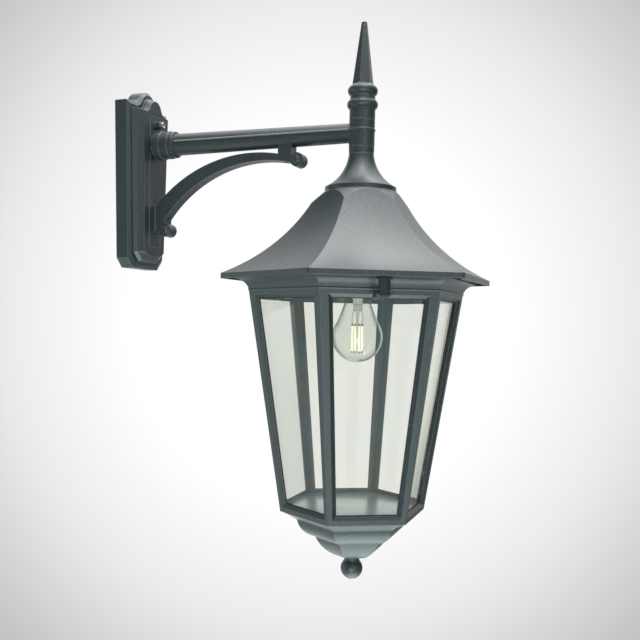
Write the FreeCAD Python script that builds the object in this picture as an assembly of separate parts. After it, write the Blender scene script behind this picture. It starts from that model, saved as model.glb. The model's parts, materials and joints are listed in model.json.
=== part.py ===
import FreeCAD, Part
import math
import os

V = FreeCAD.Vector
COS30 = math.cos(math.radians(30))
TAN30 = math.tan(math.radians(30))
UP = V(0, 0, 1)
OUT = V(1, 0, 0)

# Frame: X out of the wall, Z up, origin on the wall between the two wall holes.
# Lantern heights are counted from the top edge of the roof's fascia.
PROJECTION = 309.0        # wall to lantern axis
ARM_Z = 54.0              # arm axis above the origin

SEAT = 0.1                # clearance of a bought-in piece in its seat
RUN = 0.05                # radial clearance of a pin in its hole
MOVE = 0.3                # clearance between bodies that swing past each other
PAST = 1.0                # how far a cut runs past the face it leaves

# Wall plate: a base tier, a moulding and a raised face, all of one outline
PLATE_W = 93.2
PLATE_TOP = 103.5         # shoulder height above the origin
PLATE_BOTTOM = -103.5
PLATE_DEPTH = 30.3
PLATE_WALL = 4.0
PLATE_TAPER = 6.5         # each side leans in towards the foot
BASE_DEPTH = 16.5         # straight side of the base tier
CHAMFER_DEPTH = 3.2       # sloped edge of the base tier
CHAMFER_IN = 4.0
LEDGE_IN = 4.0            # flat step between the tiers
SHOULDER = 12.0           # flat part of the top edge
CROWN = 19.0              # rise of the arched top
FOOT_Y = 11.6             # cut-off corners at the bottom
FOOT_Z = 12.0
FACE_IN = 17.6            # the face inside the plate's sides, shoulders and foot
FACE_DROP = 9.5
FACE_RAISE = 15.9
FACE_SHOULDER = 5.0
FACE_CROWN = 16.5
FACE_FOOT_Y = 10.0
FACE_FOOT_Z = 5.5
FACE_STEP = 2.0           # upright edge of the face above the moulding
BELLY_IN = 0.3            # where the moulding swells: share of its way in and of its rise
BELLY_RISE = 0.5
RIDGE_IN = 0.9            # where the moulding ends, as a share of its way in
PANEL_W = 27.0            # engraved frame line on the face
PANEL_DROP = 0.6          # below the face's shoulder
PANEL_RAISE = 12.0
PANEL_LINE = 1.3
PANEL_DEEP = 0.7

# Mounting bar, terminal block and plate screws
BAR_W = 24.0
BAR_THICK = 3.0
BAR_DROP = 11.5           # end of the bar below the plate's shoulder
WALL_HOLE_R = 2.75
WALL_HOLE_SPACING = 130.0
PLATE_SCREW_R = 2.5
PLATE_SCREW_OUT = 15.0    # plate screw above the wall hole
PLATE_SCREW_HEAD_R = 3.9
PLATE_SCREW_HEAD = 3.0
PLATE_BOSS_R = 5.0
PLATE_BOSS = 8.0
TERMINAL_W = 28.0
TERMINAL_D = 14.0
TERMINAL_H = 20.0
TERMINAL_TOP = 26.0
TERMINAL_WAYS = 3

# Arm casting
ROOT_R = 16.5
ROOT_T = 4.5
FERRULE_R = 18.2
FERRULE_T = 9.8
COLLAR_R = 17.3
COLLAR_T = 11.4
GAP_R = 15.2              # groove between collar and neck
GAP_T = 1.4
NECK_R = 16.5
NECK_T = 4.8
RING_ROUND = 1.3
ARM_R_WALL = 13.9
ARM_R_POST = 11.2
SEAM_T = 1.5
SEAM_PROUD = 0.7
SEAM_RISE = 2.0           # moulded seam and post bead above the arm's axis
WIRE_BORE_R = 6.0
POST_R = 15.05
POST_DROP = 25.7          # ends of the post below and above the arm's axis
POST_RISE = 40.4
POST_TOP_R = 14.5
POST_RING_R = 18.0
POST_RING_H = 10.4
POST_RING_DROP = 8.9      # ring below the post's top
POST_BEAD_R = 16.0
POST_BEAD_H = 2.2
POST_GROOVE = 0.8
GROOVE_DROP = 17.3        # grooves below and above the arm's axis
GROOVE_RISE = 13.9
M4_R = 2.0
M4_HEAD_R = 3.6
M4_HEAD = 2.4
M4_LENGTH = 12.0
DRIVE_SHARE = 0.4         # drive recess against its screw head
ARM_SCREW_Y = 12.6

# Spire finial
FINIAL_RING_R = 17.5
FINIAL_RING_H = 10.5
FINIAL_RING_RISE = 6.9    # above the post's top
SPIRE_RISE = 14.0
SPIRE_H = 71.8
SPIRE_BASE_R = 12.6
SPIRE_TIP_R = 3.3
STUD_R = 3.0
STUD_LENGTH = 12.0

# Bell collar, threaded tube and its nut
BELL_H = 43.4
BELL_RIM_R = 41.8
BELL_RIM_H = 4.6
BELL_TOP_R = 14.6
BELL_WALL = 3.2
BELL_CROWN = 7.0
BELL_HOLLOW = 6.0
TUBE_R = 5.0
TUBE_BORE_R = 3.8
TUBE_BITE = 11.4          # tube in the post
NUT_FLATS = 14.0
NUT_H = 6.0
WASHER_R = 12.0
WASHER_T = 1.6

# Roof
RIM_R = 162.0             # circumradius of the hexagon
ROOF_H = 99.2             # rim to bell
FASCIA_H = 5.8
FASCIA_WALL = 2.6
TIP_CUT = 0.8             # rounds off the rim's six corners
ROOF_WALL = 3.0
ROOF_TOP_R = 49.4
ROOF_SWEEP = 197.0        # radius of the bell-cast curve across a face
CAP_SET = 0.3             # round cap inside the bell's rim
CAP_LOW_R = 62.6
CAP_H = 19.2
CAP_THICK = 4.0
STOP_RIB_T = 3.5
STOP_RIB_IN = 3.0         # stop rib inside the cage's top

# Cage
CAGE_H = 260.1
CAGE_BOTTOM_R = 87.3
CAGE_WALL = 4.5
FLOOR_T = 5.6
CORNICE_TOP = -4.0
CORNICE_IN = 17.0         # cornice inside the roof's rim
CORNICE_LIP = 1.6
COVE_IN = 1.5             # cove inside the cornice, at its top and bottom
COVE_DEEP = 16.0
COVE_H = 10.9
COVE_HOLLOW = 2.4
CAGE_BEAD_H = 2.0
CAGE_BEAD = 0.8
RAIL_TOP = 11.1           # rails above and below the window
RAIL_BOTTOM = 9.8
POST_FACE_TOP = 13.2      # post width beside the window, at its top and bottom
POST_FACE_BOTTOM = 9.4
BEVEL = 4.0
BEVEL_DEEP = 3.2
PANE_T = 3.0
PANE_LAP = 3.2
CLIP_W = 12.0
CLIP_T = 1.2
CLIP_BITE = 5.0
CLIP_SCREW_R = 1.5
CLIP_SCREW_HEAD_R = 2.8
CLIP_SCREW_HEAD = 1.8
CLIP_SCREW_DEEP = 4.0

# Hinge at the back face and latch at the front face
HINGE_ANGLE = 120.0
HINGE_OUT = 4.9           # pin outside the cornice
HINGE_Z = -3.0
HINGE_PIN_R = 2.0
KNUCKLE_R = 3.6
KNUCKLE_W = 24.0
LUG_T = 5.0
LATCH_ANGLE = -60.0
LATCH_OUT = 1.4           # pin outside the cornice
LATCH_DROP = 7.8          # pin below the cage's top
LATCH_PIN_R = 1.5
LATCH_W = 11.6
LATCH_T = 3.0
LATCH_SET = 0.2           # back of the latch inside its pin's axis
LATCH_NECK_T = 1.6        # thinner above the flange, to swing out under the roof
LATCH_FLANGE_W = 16.0
LATCH_FLANGE_DROP = 1.9   # flange below the cornice's top
LATCH_FLANGE_H = 2.9
LATCH_FLANGE_OUT = 2.5
LATCH_RIB = 1.5
LATCH_RIB_OUT = 1.8
LATCH_BARREL_R = 3.2
LATCH_BARREL_W = 10.0
CHEEK_T = 2.0
CHEEK_R = 2.9
CATCH_W = 9.0
CATCH_RISE = 2.4          # catch above the cornice's top
CATCH_T = 2.0
CATCH_REACH = 7.0
CATCH_BITE = 3.0
NOSE_T = 1.5

# Bottom pan and ball finial: radii as shares of the cage's, heights below its bottom
PAN_RIM_IN = 0.8
PAN_SHELF_SHARE = 0.768
PAN_SHELF_DROP = 10.4
PAN_STEP_SHARE = 0.55
PAN_STEP_DROP = 29.8
PAN_BOWL_SHARE = 0.512
PAN_BOWL_DROP = 31.2
PAN_BOTTOM_SHARE = 0.252
PAN_DROP = 52.9
PAN_SIDE = 5.5            # wall across the corners
PAN_FLOOR = 12.5
PAN_BAND_HOLLOW = 0.5
PAN_TIER_BOW = 3.6
PAN_BOWL_BOW = 2.6
BALL_R = 13.1
BALL_DROP = 69.4
BALL_NECK_R = 9.5
BALL_COLLAR_R = 11.5
BALL_COLLAR_HOLLOW = 1.6
BOSS_R = 8.0
BOSS_DROP = 13.4
STUD_DROP = 3.4

# Brace
BRACE_W = 16.0
BRACE_CENTRE_X = 173.0
BRACE_R_OUT = 183.9       # upper edge
BRACE_R_LESS = 14.2       # lower edge: its radius is smaller and its centre further out
BRACE_SHIFT = 12.3
BRACE_DEPTH = 9.6
BRACE_GAP = 4.7           # brace under the arm where the two are nearest
BRACE_END_OUT = 11.3      # end and nose past the middle of the pad
BRACE_NOSE_OUT = 15.6
BRACE_NOSE_RISE = 1.6
BRACE_ROLL_R = 8.4
BRACE_PAD_X = 214.7
BRACE_PAD_W = 17.8
PAD_TOP = 7.8             # upper edge of the pad below the arm's axis
PAD_SCREW_BITE = 3.0
FOOT_H = 33.0             # foot below the brace's upper edge
FOOT_W = 19.0
FOOT_T = 6.0
FOOT_ROLL_OUT = 19.7      # roll in front of the plate
FOOT_ROLL_DROP = 30.3     # roll below the brace's upper edge

# Lampholder, lamp and flex
HOLDER_SPLIT = 16.0       # where the holder's two halves meet
HOLDER_R = 20.0
HOLDER_WALL = 3.2
HOLDER_SKIRT = 35.0
HOLDER_CAP_H = 24.0
HOLDER_CONE = 8.0
HOLDER_RING_R = 21.5
HOLDER_RING_DROP = 3.0
HOLDER_RING_H = 5.0
INSERT_T = 6.0
SPRING_H = 11.0
LAMP_R = 30.0
LAMP_GLASS_H = 78.2
LAMP_NECK_R = 14.6
LAMP_NECK_H = 5.0
LAMP_NECK_HOLLOW = 0.6
LAMP_JOIN = 33            # degrees above the globe's middle where the neck begins
LAMP_MOUTH_R = 12.6
GLASS_T = 0.8
LAMP_CAP_R = 13.2
LAMP_CAP_H = 25.0
LAMP_TIP_H = 2.0
LAMP_TIP_R = 4.6
LAMP_CROWN_R = 7.3
LAMP_CROWN_H = 4.0
FILAMENT_RAISE = 12.2
FILAMENT_H = 32.0
FILAMENT_RING = 5.6
FILAMENT_R = 0.9
FILAMENTS = 4
FILAMENT_TURN = 45
STEM_R = 1.5
STEM_FLARE_R = 9.0
STEM_FLARE_H = 12.0
STEM_PINCH_R = 3.2
STEM_PINCH_H = 4.0
LEAD_R = 0.4
FLEX_R = 2.3
FLEX_BEND = 12.0
FLEX_X = 14.0
FLEX_BITE = 2.0           # flex in the holder's insert

PLATE_SCREW_Z = WALL_HOLE_SPACING / 2 + PLATE_SCREW_OUT
BAR_TAB = BASE_DEPTH - PLATE_WALL - SEAT
FOOT_SCREW_X = (BAR_THICK + BAR_TAB) / 2
FOOT_ROLL_X = PLATE_DEPTH + FOOT_ROLL_OUT
BRACE_END_X = BRACE_PAD_X + BRACE_END_OUT
BRACE_NOSE_X = BRACE_PAD_X + BRACE_NOSE_OUT

POST_BOTTOM = ROOF_H + BELL_H
ARM_ABOVE_RIM = POST_BOTTOM + POST_DROP
POST_TOP = ARM_ABOVE_RIM + POST_RISE
SPIRE_BASE = POST_TOP + SPIRE_RISE
RIM_Z = ARM_Z - ARM_ABOVE_RIM
LANTERN = V(PROJECTION, 0, RIM_Z)
CAP_TOP_R = BELL_RIM_R - CAP_SET
CAP_LOW_Z = ROOF_H - CAP_H

CORNICE_R = RIM_R - CORNICE_IN
COVE_R = CORNICE_R - COVE_IN
CAGE_TOP_R = CORNICE_R - COVE_DEEP
CAGE_TOP_Z = CORNICE_TOP - CORNICE_LIP - COVE_H
CAGE_BOTTOM_Z = CAGE_TOP_Z - CAGE_H
WINDOW_TOP = CAGE_TOP_Z - RAIL_TOP
WINDOW_BOTTOM = CAGE_BOTTOM_Z + RAIL_BOTTOM
STOP_RIB_R = CAGE_TOP_R - STOP_RIB_IN
HINGE_REACH = CORNICE_R * COS30 + HINGE_OUT
LATCH_REACH = CORNICE_R * COS30 + LATCH_OUT
LATCH_PIN_Z = CAGE_TOP_Z - LATCH_DROP
LATCH_BACK = LATCH_REACH - LATCH_SET
LATCH_FLANGE_TOP = CORNICE_TOP - LATCH_FLANGE_DROP
CATCH_TOP = CORNICE_TOP + CATCH_RISE
CATCH_LIP = LATCH_BACK - MOVE
PAN_BOTTOM_Z = CAGE_BOTTOM_Z - PAN_DROP
BALL_Z = CAGE_BOTTOM_Z - BALL_DROP
BOSS_BOTTOM = CAGE_BOTTOM_Z - BOSS_DROP
BALL_STUD_TOP = CAGE_BOTTOM_Z - STUD_DROP

TUBE_BOTTOM = HOLDER_SPLIT + INSERT_T + HOLDER_CONE
HOLDER_TOP = HOLDER_SPLIT + HOLDER_CAP_H
HOLDER_LOW = HOLDER_SPLIT - HOLDER_SKIRT
HOLDER_RING_TOP = HOLDER_SPLIT - HOLDER_RING_DROP
FLEX_END = HOLDER_SPLIT + INSERT_T - FLEX_BITE
LAMP_TIP = HOLDER_SPLIT - SPRING_H
LAMP_CAP_TOP = LAMP_TIP - LAMP_TIP_H
LAMP_CAP_LOW = LAMP_CAP_TOP - LAMP_CAP_H
LAMP_NECK_Z = LAMP_CAP_LOW - LAMP_NECK_H
LAMP_BOTTOM = LAMP_CAP_LOW - LAMP_GLASS_H
FILAMENT_LOW = LAMP_BOTTOM + FILAMENT_RAISE
FILAMENT_TOP = FILAMENT_LOW + FILAMENT_H
SIDES = [0, 60, 120, 180, 240, 300]

# Outlines of the wall plate: half width, shoulder, crown's rise, flat, bottom and corner cut
BASE = (PLATE_W / 2, PLATE_TOP, CROWN, SHOULDER, PLATE_BOTTOM, FOOT_Y, FOOT_Z)
FACE = (PLATE_W / 2 - FACE_IN, PLATE_TOP - FACE_DROP, FACE_CROWN, FACE_SHOULDER,
        PLATE_BOTTOM + FACE_RAISE, FACE_FOOT_Y, FACE_FOOT_Z)


def flat(circumradius):
    """Distance from the axis to the middle of a hexagon's side."""
    return circumradius * COS30


def path(start, steps):
    """Edges in the XZ plane: a step is [end] for a line or [middle, end] for an arc."""
    edges = []
    here = V(start[0], 0, start[1])
    for step in steps:
        points = [V(x, 0, z) for x, z in step]
        if len(points) == 1:
            edges.append(Part.LineSegment(here, points[0]).toShape())
        else:
            edges.append(Part.Arc(here, points[0], points[1]).toShape())
        here = points[-1]
    return edges


def bowed(first, second, bow):
    """Middle of an arc between two points, pushed to the right of the way by a distance."""
    dx = second[0] - first[0]
    dz = second[1] - first[1]
    length = math.hypot(dx, dz)
    return ((first[0] + second[0]) / 2 + bow * dz / length, (first[1] + second[1]) / 2 - bow * dx / length)


def turned(start, steps):
    """Solid of revolution about Z from a closed outline of radius against height."""
    edges = path(start, steps + [[start]])
    return Part.Face(Part.Wire(edges)).revolve(V(0, 0, 0), UP, 360)


def six_sided(start, steps):
    """Solid whose six sides all follow one outline of side distance against height."""
    right = path(start, steps)
    top = steps[-1][-1]
    reach = 2 * max([start[0]] + [point[0] for step in steps for point in step])
    left = [edge.mirror(V(0, 0, 0), OUT) for edge in right]
    lid = Part.LineSegment(V(top[0], 0, top[1]), V(-top[0], 0, top[1])).toShape()
    base = Part.LineSegment(V(-start[0], 0, start[1]), V(start[0], 0, start[1])).toShape()
    wire = Part.Wire(Part.__sortEdges__(right + [lid] + left + [base]))
    slab = Part.Face(wire).extrude(V(0, 2 * reach, 0)).translated(V(0, -reach, 0))
    solid = slab
    for angle in (60, 120):
        solid = solid.common(slab.rotated(V(0, 0, 0), UP, angle))
    return solid.removeSplitter()


def block(x0, x1, y0, y1, z0, z1):
    return Part.makeBox(x1 - x0, y1 - y0, z1 - z0, V(x0, y0, z0))


def rod(radius, start, end):
    return Part.makeCylinder(radius, (end - start).Length, start, end - start)


def bore(radius, shape_radius, start, end):
    return rod(shape_radius, start, end).cut(rod(radius, start, end))


def turn(shape, angle):
    return shape.rotated(V(0, 0, 0), UP, angle)


def at_lantern(shape):
    return shape.translated(LANTERN)


def curve_centre(low, high, radius):
    """Centre of the arc through two points that hollows out the side of the roof."""
    dx = high[0] - low[0]
    dz = high[1] - low[1]
    chord = math.hypot(dx, dz)
    rise = math.sqrt(radius ** 2 - chord ** 2 / 4)
    return ((low[0] + high[0]) / 2 + rise * dz / chord, (low[1] + high[1]) / 2 - rise * dx / chord)


def pan_screw(head, tip, shank_r, head_r, head_t):
    """Screw with its head's underside at one point and its tip at the other."""
    axis = (head - tip).normalize()
    shank = rod(shank_r, tip, head)
    cap = rod(head_r, head, head + axis * head_t)
    drive = rod(head_r * DRIVE_SHARE, head + axis * (head_t * DRIVE_SHARE), head + axis * (head_t + PAST))
    return shank.fuse(cap).removeSplitter().cut(drive)


def upright_outline(x, right):
    """Closed outline across the wall plate from the edges of its right half, foot first."""
    left = [edge.mirror(V(0, 0, 0), OUT) for edge in right]
    start = right[0].Vertexes[0].Point
    foot = Part.LineSegment(V(-start.x, 0, start.z), start).toShape()
    wire = Part.Wire(Part.__sortEdges__(right + left + [foot]))
    return wire.rotated(V(0, 0, 0), UP, 90).translated(V(x, 0, 0))


def inset(sizes, by):
    """Sizes of an outline drawn inside another one."""
    half, top, crown, shoulder, bottom, foot_y, foot_z = sizes
    return (half - by, top - by, crown, shoulder, bottom + by, foot_y, foot_z)


def between(first, second, share):
    """Sizes of an outline part of the way from one to another."""
    return tuple(a + (b - a) * share for a, b in zip(first, second))


def plate_outline(x, sizes):
    """Cut-off foot corners, leaning sides, flat shoulders and an ogee rise to a rounded crown."""
    half, top, crown, shoulder, bottom, foot_y, foot_z = sizes
    low_half = half - PLATE_TAPER
    rise_y = half - shoulder
    mid_y = rise_y / 2
    radius = (mid_y ** 2 + (crown / 2) ** 2) / crown
    swing = math.asin(mid_y / radius) / 2
    low_mid = (rise_y - radius * math.sin(swing), top + radius * (1 - math.cos(swing)))
    high_mid = (radius * math.sin(swing), top + crown - radius * (1 - math.cos(swing)))
    return upright_outline(x, path((low_half - foot_y, bottom), [
        [(low_half, bottom + foot_z)],
        [(half, top)],
        [(rise_y, top)],
        [low_mid, (mid_y, top + crown / 2)],
        [high_mid, (0, top + crown)],
    ]))


def slab_between(first, second):
    return Part.makeLoft([first, second], True, True)


def plate_tiers():
    """Base tier with its sloped edge, swelling moulding and raised face, from the wall outwards."""
    ledge_x = BASE_DEPTH + CHAMFER_DEPTH
    step_x = PLATE_DEPTH - FACE_STEP
    belly_x = ledge_x + (step_x - ledge_x) * BELLY_RISE
    tier = inset(BASE, CHAMFER_IN + LEDGE_IN)
    belly = between(tier, FACE, BELLY_IN)
    ridge = between(tier, FACE, RIDGE_IN)
    levels = [
        (0, BASE, BASE_DEPTH, BASE),
        (BASE_DEPTH, BASE, ledge_x, inset(BASE, CHAMFER_IN)),
        (ledge_x, tier, belly_x, belly),
        (belly_x, belly, step_x, ridge),
        (step_x, FACE, PLATE_DEPTH, FACE),
    ]
    slabs = [slab_between(plate_outline(a, low), plate_outline(b, high)) for a, low, b, high in levels]
    return slabs[0].multiFuse(slabs[1:])


def panel(by):
    """Field inside the engraved frame, made smaller all round."""
    half = PANEL_W / 2 - by
    low = FACE[4] + PANEL_RAISE + by
    high = FACE[1] - PANEL_DROP - by
    edges = path((-half, low), [[(half, low)], [(half, high)], [(-half, high)], [(-half, low)]])
    wire = Part.Wire(edges).rotated(V(0, 0, 0), UP, 90)
    return Part.Face(wire).extrude(OUT * (PANEL_DEEP + PAST)).translated(OUT * (PLATE_DEPTH - PANEL_DEEP))


def wall_plate():
    inner_x = PLATE_DEPTH - PLATE_WALL
    boss_end = V(PLATE_DEPTH + PLATE_BOSS, 0, PLATE_SCREW_Z)
    boss = rod(PLATE_BOSS_R, V(inner_x, 0, PLATE_SCREW_Z), boss_end)
    body = plate_tiers().fuse(boss).removeSplitter()
    wide = BASE_DEPTH - PLATE_WALL
    base_in = inset(BASE, PLATE_WALL)
    face_in = inset(FACE, PLATE_WALL)
    body = body.cut(slab_between(plate_outline(-PAST, base_in), plate_outline(wide, base_in)))
    body = body.cut(slab_between(plate_outline(wide - PAST, face_in), plate_outline(inner_x, face_in)))
    body = body.cut(panel(0).cut(panel(PANEL_LINE)))
    through = PLATE_DEPTH + PLATE_BOSS + PAST
    holes = [rod(PLATE_SCREW_R + SEAT, V(0, 0, PLATE_SCREW_Z), V(through, 0, PLATE_SCREW_Z))]
    holes.append(rod(WIRE_BORE_R, V(wide, 0, ARM_Z), V(through, 0, ARM_Z)))
    for point in arm_screw_points() + foot_screw_points():
        holes.append(rod(M4_R + SEAT, V(wide, point.y, point.z), V(through, point.y, point.z)))
    head = lower_screw_head()
    holes.append(rod(M4_R + SEAT, head, head + UP * (PLATE_WALL + PAST)))
    holes.append(rod(M4_HEAD_R + 2 * SEAT, head - UP * (M4_HEAD + SEAT + PAST), head))
    return body.cut(Part.makeCompound(holes))


def lower_screw_head():
    """Seat of the plate's lower screw, sunk into the plate's foot."""
    return V(FOOT_SCREW_X, 0, PLATE_BOTTOM + M4_HEAD + SEAT)


def arm_screw_points():
    return [V(PLATE_DEPTH, side * ARM_SCREW_Y, ARM_Z) for side in (-1, 1)]


def foot_screw_points():
    low = brace_foot()[1] - FOOT_H
    return [V(PLATE_DEPTH, 0, low + FOOT_H / 4 * n) for n in (1, 3)]


def mounting_bar():
    low = PLATE_BOTTOM + PLATE_WALL
    half = BAR_W / 2
    bar = block(0, BAR_THICK, -half, half, low, PLATE_TOP - BAR_DROP)
    bar = bar.fuse(block(0, BAR_TAB, -half, half, low, low + BAR_THICK)).removeSplitter()
    front = BAR_THICK + PAST
    holes = []
    for z in (-WALL_HOLE_SPACING / 2, WALL_HOLE_SPACING / 2):
        holes.append(rod(WALL_HOLE_R, V(-PAST, 0, z), V(front, 0, z)))
    holes.append(rod(PLATE_SCREW_R + RUN, V(-PAST, 0, PLATE_SCREW_Z), V(front, 0, PLATE_SCREW_Z)))
    foot = V(FOOT_SCREW_X, 0, low)
    holes.append(rod(M4_R + RUN, foot - UP * PAST, foot + UP * front))
    return bar.cut(Part.makeCompound(holes))


def plate_screws():
    top = pan_screw(V(PLATE_DEPTH + PLATE_BOSS, 0, PLATE_SCREW_Z), V(RUN, 0, PLATE_SCREW_Z),
                    PLATE_SCREW_R, PLATE_SCREW_HEAD_R, PLATE_SCREW_HEAD)
    head = lower_screw_head()
    low = pan_screw(head, head + UP * M4_LENGTH, M4_R, M4_HEAD_R, M4_HEAD)
    return Part.makeCompound([top, low])


def terminal_block():
    body = block(BAR_THICK, BAR_THICK + TERMINAL_D, -TERMINAL_W / 2, TERMINAL_W / 2,
                 TERMINAL_TOP - TERMINAL_H, TERMINAL_TOP)
    pitch = TERMINAL_W / TERMINAL_WAYS
    depth = TERMINAL_D / 2
    quarter = TERMINAL_H / 4
    wells = []
    for n in range(TERMINAL_WAYS):
        for z in (TERMINAL_TOP - quarter, TERMINAL_TOP - 3 * quarter):
            start = V(BAR_THICK + depth, (n + 0.5) * pitch - TERMINAL_W / 2, z)
            wells.append(rod(pitch / 4, start, start + OUT * (depth + PAST)))
    return body.cut(Part.makeCompound(wells))


def ring_steps(z, radius, height, base_r):
    """Half-round ring on a post, drawn upwards from its lower edge."""
    return [[(base_r, z - height / 2)], [(radius, z), (base_r, z + height / 2)]]


def groove_steps(z):
    """Groove round the post, drawn upwards."""
    return [[(POST_R, z - POST_GROOVE)], [(POST_R - POST_GROOVE, z)], [(POST_R, z + POST_GROOVE)]]


def post():
    steps = [[(BELL_TOP_R, POST_BOTTOM)]]
    steps += groove_steps(ARM_ABOVE_RIM - GROOVE_DROP)
    steps += ring_steps(ARM_ABOVE_RIM + SEAM_RISE, POST_BEAD_R, POST_BEAD_H, POST_R)
    steps += groove_steps(ARM_ABOVE_RIM + GROOVE_RISE)
    steps += ring_steps(POST_TOP - POST_RING_DROP, POST_RING_R, POST_RING_H, POST_R)
    steps += [[(POST_TOP_R, POST_TOP)], [(0, POST_TOP)]]
    return turned((0, POST_BOTTOM), steps)


def arm_rings():
    """Root, ferrule, collar and neck of the arm, one after the other from the plate."""
    rings = []
    x = PLATE_DEPTH
    for radius, thick in ((ROOT_R, ROOT_T), (FERRULE_R, FERRULE_T), (COLLAR_R, COLLAR_T),
                          (GAP_R, GAP_T), (NECK_R, NECK_T)):
        ring = rod(radius, V(x, 0, ARM_Z), V(x + thick, 0, ARM_Z))
        if radius != GAP_R:
            rims = [edge for edge in ring.Edges if edge.Curve.TypeId == "Part::GeomCircle"]
            ring = ring.makeFillet(RING_ROUND, rims[:2])
        rings.append(ring)
        x += thick
    return rings


def arm():
    length = PROJECTION - PLATE_DEPTH
    start = V(PLATE_DEPTH, 0, ARM_Z)
    shape = Part.makeCone(ARM_R_WALL, ARM_R_POST, length, start, OUT)
    for ring in arm_rings():
        shape = shape.fuse(ring)
    wall = ARM_R_WALL + SEAM_PROUD
    tip = ARM_R_POST + SEAM_PROUD
    corners = [V(PLATE_DEPTH, -wall, 0), V(PROJECTION, -tip, 0), V(PROJECTION, tip, 0),
               V(PLATE_DEPTH, wall, 0)]
    seam = Part.Face(Part.makePolygon(corners + corners[:1])).extrude(V(0, 0, SEAM_T))
    shape = shape.fuse(seam.translated(V(0, 0, ARM_Z + SEAM_RISE - SEAM_T / 2)))
    shape = shape.fuse(at_lantern(post())).removeSplitter()
    holes = [rod(WIRE_BORE_R, V(0, 0, ARM_Z), V(PROJECTION + TUBE_R - WIRE_BORE_R, 0, ARM_Z))]
    holes.append(Part.makeSphere(WIRE_BORE_R, V(PROJECTION + TUBE_R - WIRE_BORE_R, 0, ARM_Z)))
    well = at_lantern(rod(TUBE_R + RUN, V(0, 0, POST_BOTTOM - PAST), V(0, 0, ARM_ABOVE_RIM)))
    stud_low = POST_TOP - STUD_LENGTH - PAST
    stud = at_lantern(rod(STUD_R + RUN, V(0, 0, stud_low), V(0, 0, POST_TOP + PAST)))
    holes += [well, stud]
    reach = M4_LENGTH - PLATE_WALL + PAST
    for point in arm_screw_points():
        holes.append(rod(M4_R + RUN, point - OUT * PAST, point + OUT * reach))
    head = pad_screw_head()
    holes.append(rod(M4_R + RUN, head, head + UP * (M4_LENGTH + PAST)))
    return shape.cut(Part.makeCompound(holes))


def arm_screws():
    screws = []
    for point in arm_screw_points():
        head = point - OUT * PLATE_WALL
        screws.append(pan_screw(head, head + OUT * M4_LENGTH, M4_R, M4_HEAD_R, M4_HEAD))
    return Part.makeCompound(screws)


def arm_bottom(x):
    """Height of the arm's lower side above a point of the brace."""
    share = (x - PLATE_DEPTH) / (PROJECTION - PLATE_DEPTH)
    return ARM_Z - ARM_R_WALL - (ARM_R_POST - ARM_R_WALL) * share


def upper_edge(x):
    """Point of the brace's upper edge at a distance from the wall."""
    centre_z = arm_bottom(BRACE_CENTRE_X) - BRACE_GAP - BRACE_R_OUT
    return (x, centre_z + math.sqrt(BRACE_R_OUT ** 2 - (x - BRACE_CENTRE_X) ** 2))


def lower_edge(x):
    """Point of the brace's lower edge, which leaves the bar broader towards its foot."""
    radius = BRACE_R_OUT - BRACE_R_LESS
    centre_x = BRACE_CENTRE_X + BRACE_SHIFT
    centre_z = upper_edge(centre_x)[1] - BRACE_DEPTH - radius
    return (x, centre_z + math.sqrt(radius ** 2 - (x - centre_x) ** 2))


def middle(x):
    """Height half way between the brace's two edges."""
    return (upper_edge(x)[1] + lower_edge(x)[1]) / 2


def brace_foot():
    """Where the brace's upper edge meets its foot."""
    return upper_edge(PLATE_DEPTH + FOOT_T)


def brace():
    top = brace_foot()
    foot_x = top[0]
    roll_z = top[1] - FOOT_ROLL_DROP
    top_mid = upper_edge((foot_x + BRACE_END_X) / 2)
    low_mid = lower_edge((FOOT_ROLL_X + BRACE_END_X) / 2)
    edges = path(top, [[top_mid, upper_edge(BRACE_END_X)], [lower_edge(BRACE_END_X)],
                       [low_mid, lower_edge(FOOT_ROLL_X)], [(FOOT_ROLL_X, roll_z)], [(foot_x, roll_z)], [top]])
    half = BRACE_W / 2
    bar = Part.Face(Part.Wire(edges)).extrude(V(0, BRACE_W, 0)).translated(V(0, -half, 0))
    nose_z = middle(BRACE_NOSE_X) + BRACE_NOSE_RISE
    for x, z in ((BRACE_NOSE_X, nose_z), (FOOT_ROLL_X, roll_z)):
        bar = bar.fuse(rod(BRACE_ROLL_R, V(x, -half, z), V(x, half, z)))
    bar = bar.fuse(block(PLATE_DEPTH, foot_x, -FOOT_W / 2, FOOT_W / 2, top[1] - FOOT_H, top[1]))
    pad_end = BRACE_PAD_X + BRACE_PAD_W / 2
    pad = block(pad_end - BRACE_PAD_W, pad_end, -half, half, middle(pad_end), ARM_Z - PAD_TOP)
    length = PROJECTION - PLATE_DEPTH
    saddle = Part.makeCone(ARM_R_WALL + SEAT, ARM_R_POST + SEAT, length, V(PLATE_DEPTH, 0, ARM_Z), OUT)
    bar = bar.fuse(pad.cut(saddle)).removeSplitter()
    holes = []
    reach = M4_LENGTH - PLATE_WALL + PAST
    for point in foot_screw_points():
        holes.append(rod(M4_R + RUN, point - OUT * PAST, point + OUT * reach))
    head = pad_screw_head()
    holes.append(rod(M4_R + SEAT, head, head + UP * (M4_LENGTH + PAST)))
    below = V(head.x, 0, lower_edge(head.x)[1] - PAST)
    holes.append(rod(M4_HEAD_R + 2 * SEAT, below, head))
    return bar.cut(Part.makeCompound(holes))


def pad_screw_head():
    return V(BRACE_PAD_X, 0, arm_bottom(BRACE_PAD_X) + PAD_SCREW_BITE - M4_LENGTH)


def brace_screws():
    screws = []
    for point in foot_screw_points():
        head = point - OUT * PLATE_WALL
        screws.append(pan_screw(head, head + OUT * M4_LENGTH, M4_R, M4_HEAD_R, M4_HEAD))
    head = pad_screw_head()
    screws.append(pan_screw(head, head + UP * M4_LENGTH, M4_R, M4_HEAD_R, M4_HEAD))
    return Part.makeCompound(screws)


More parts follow.
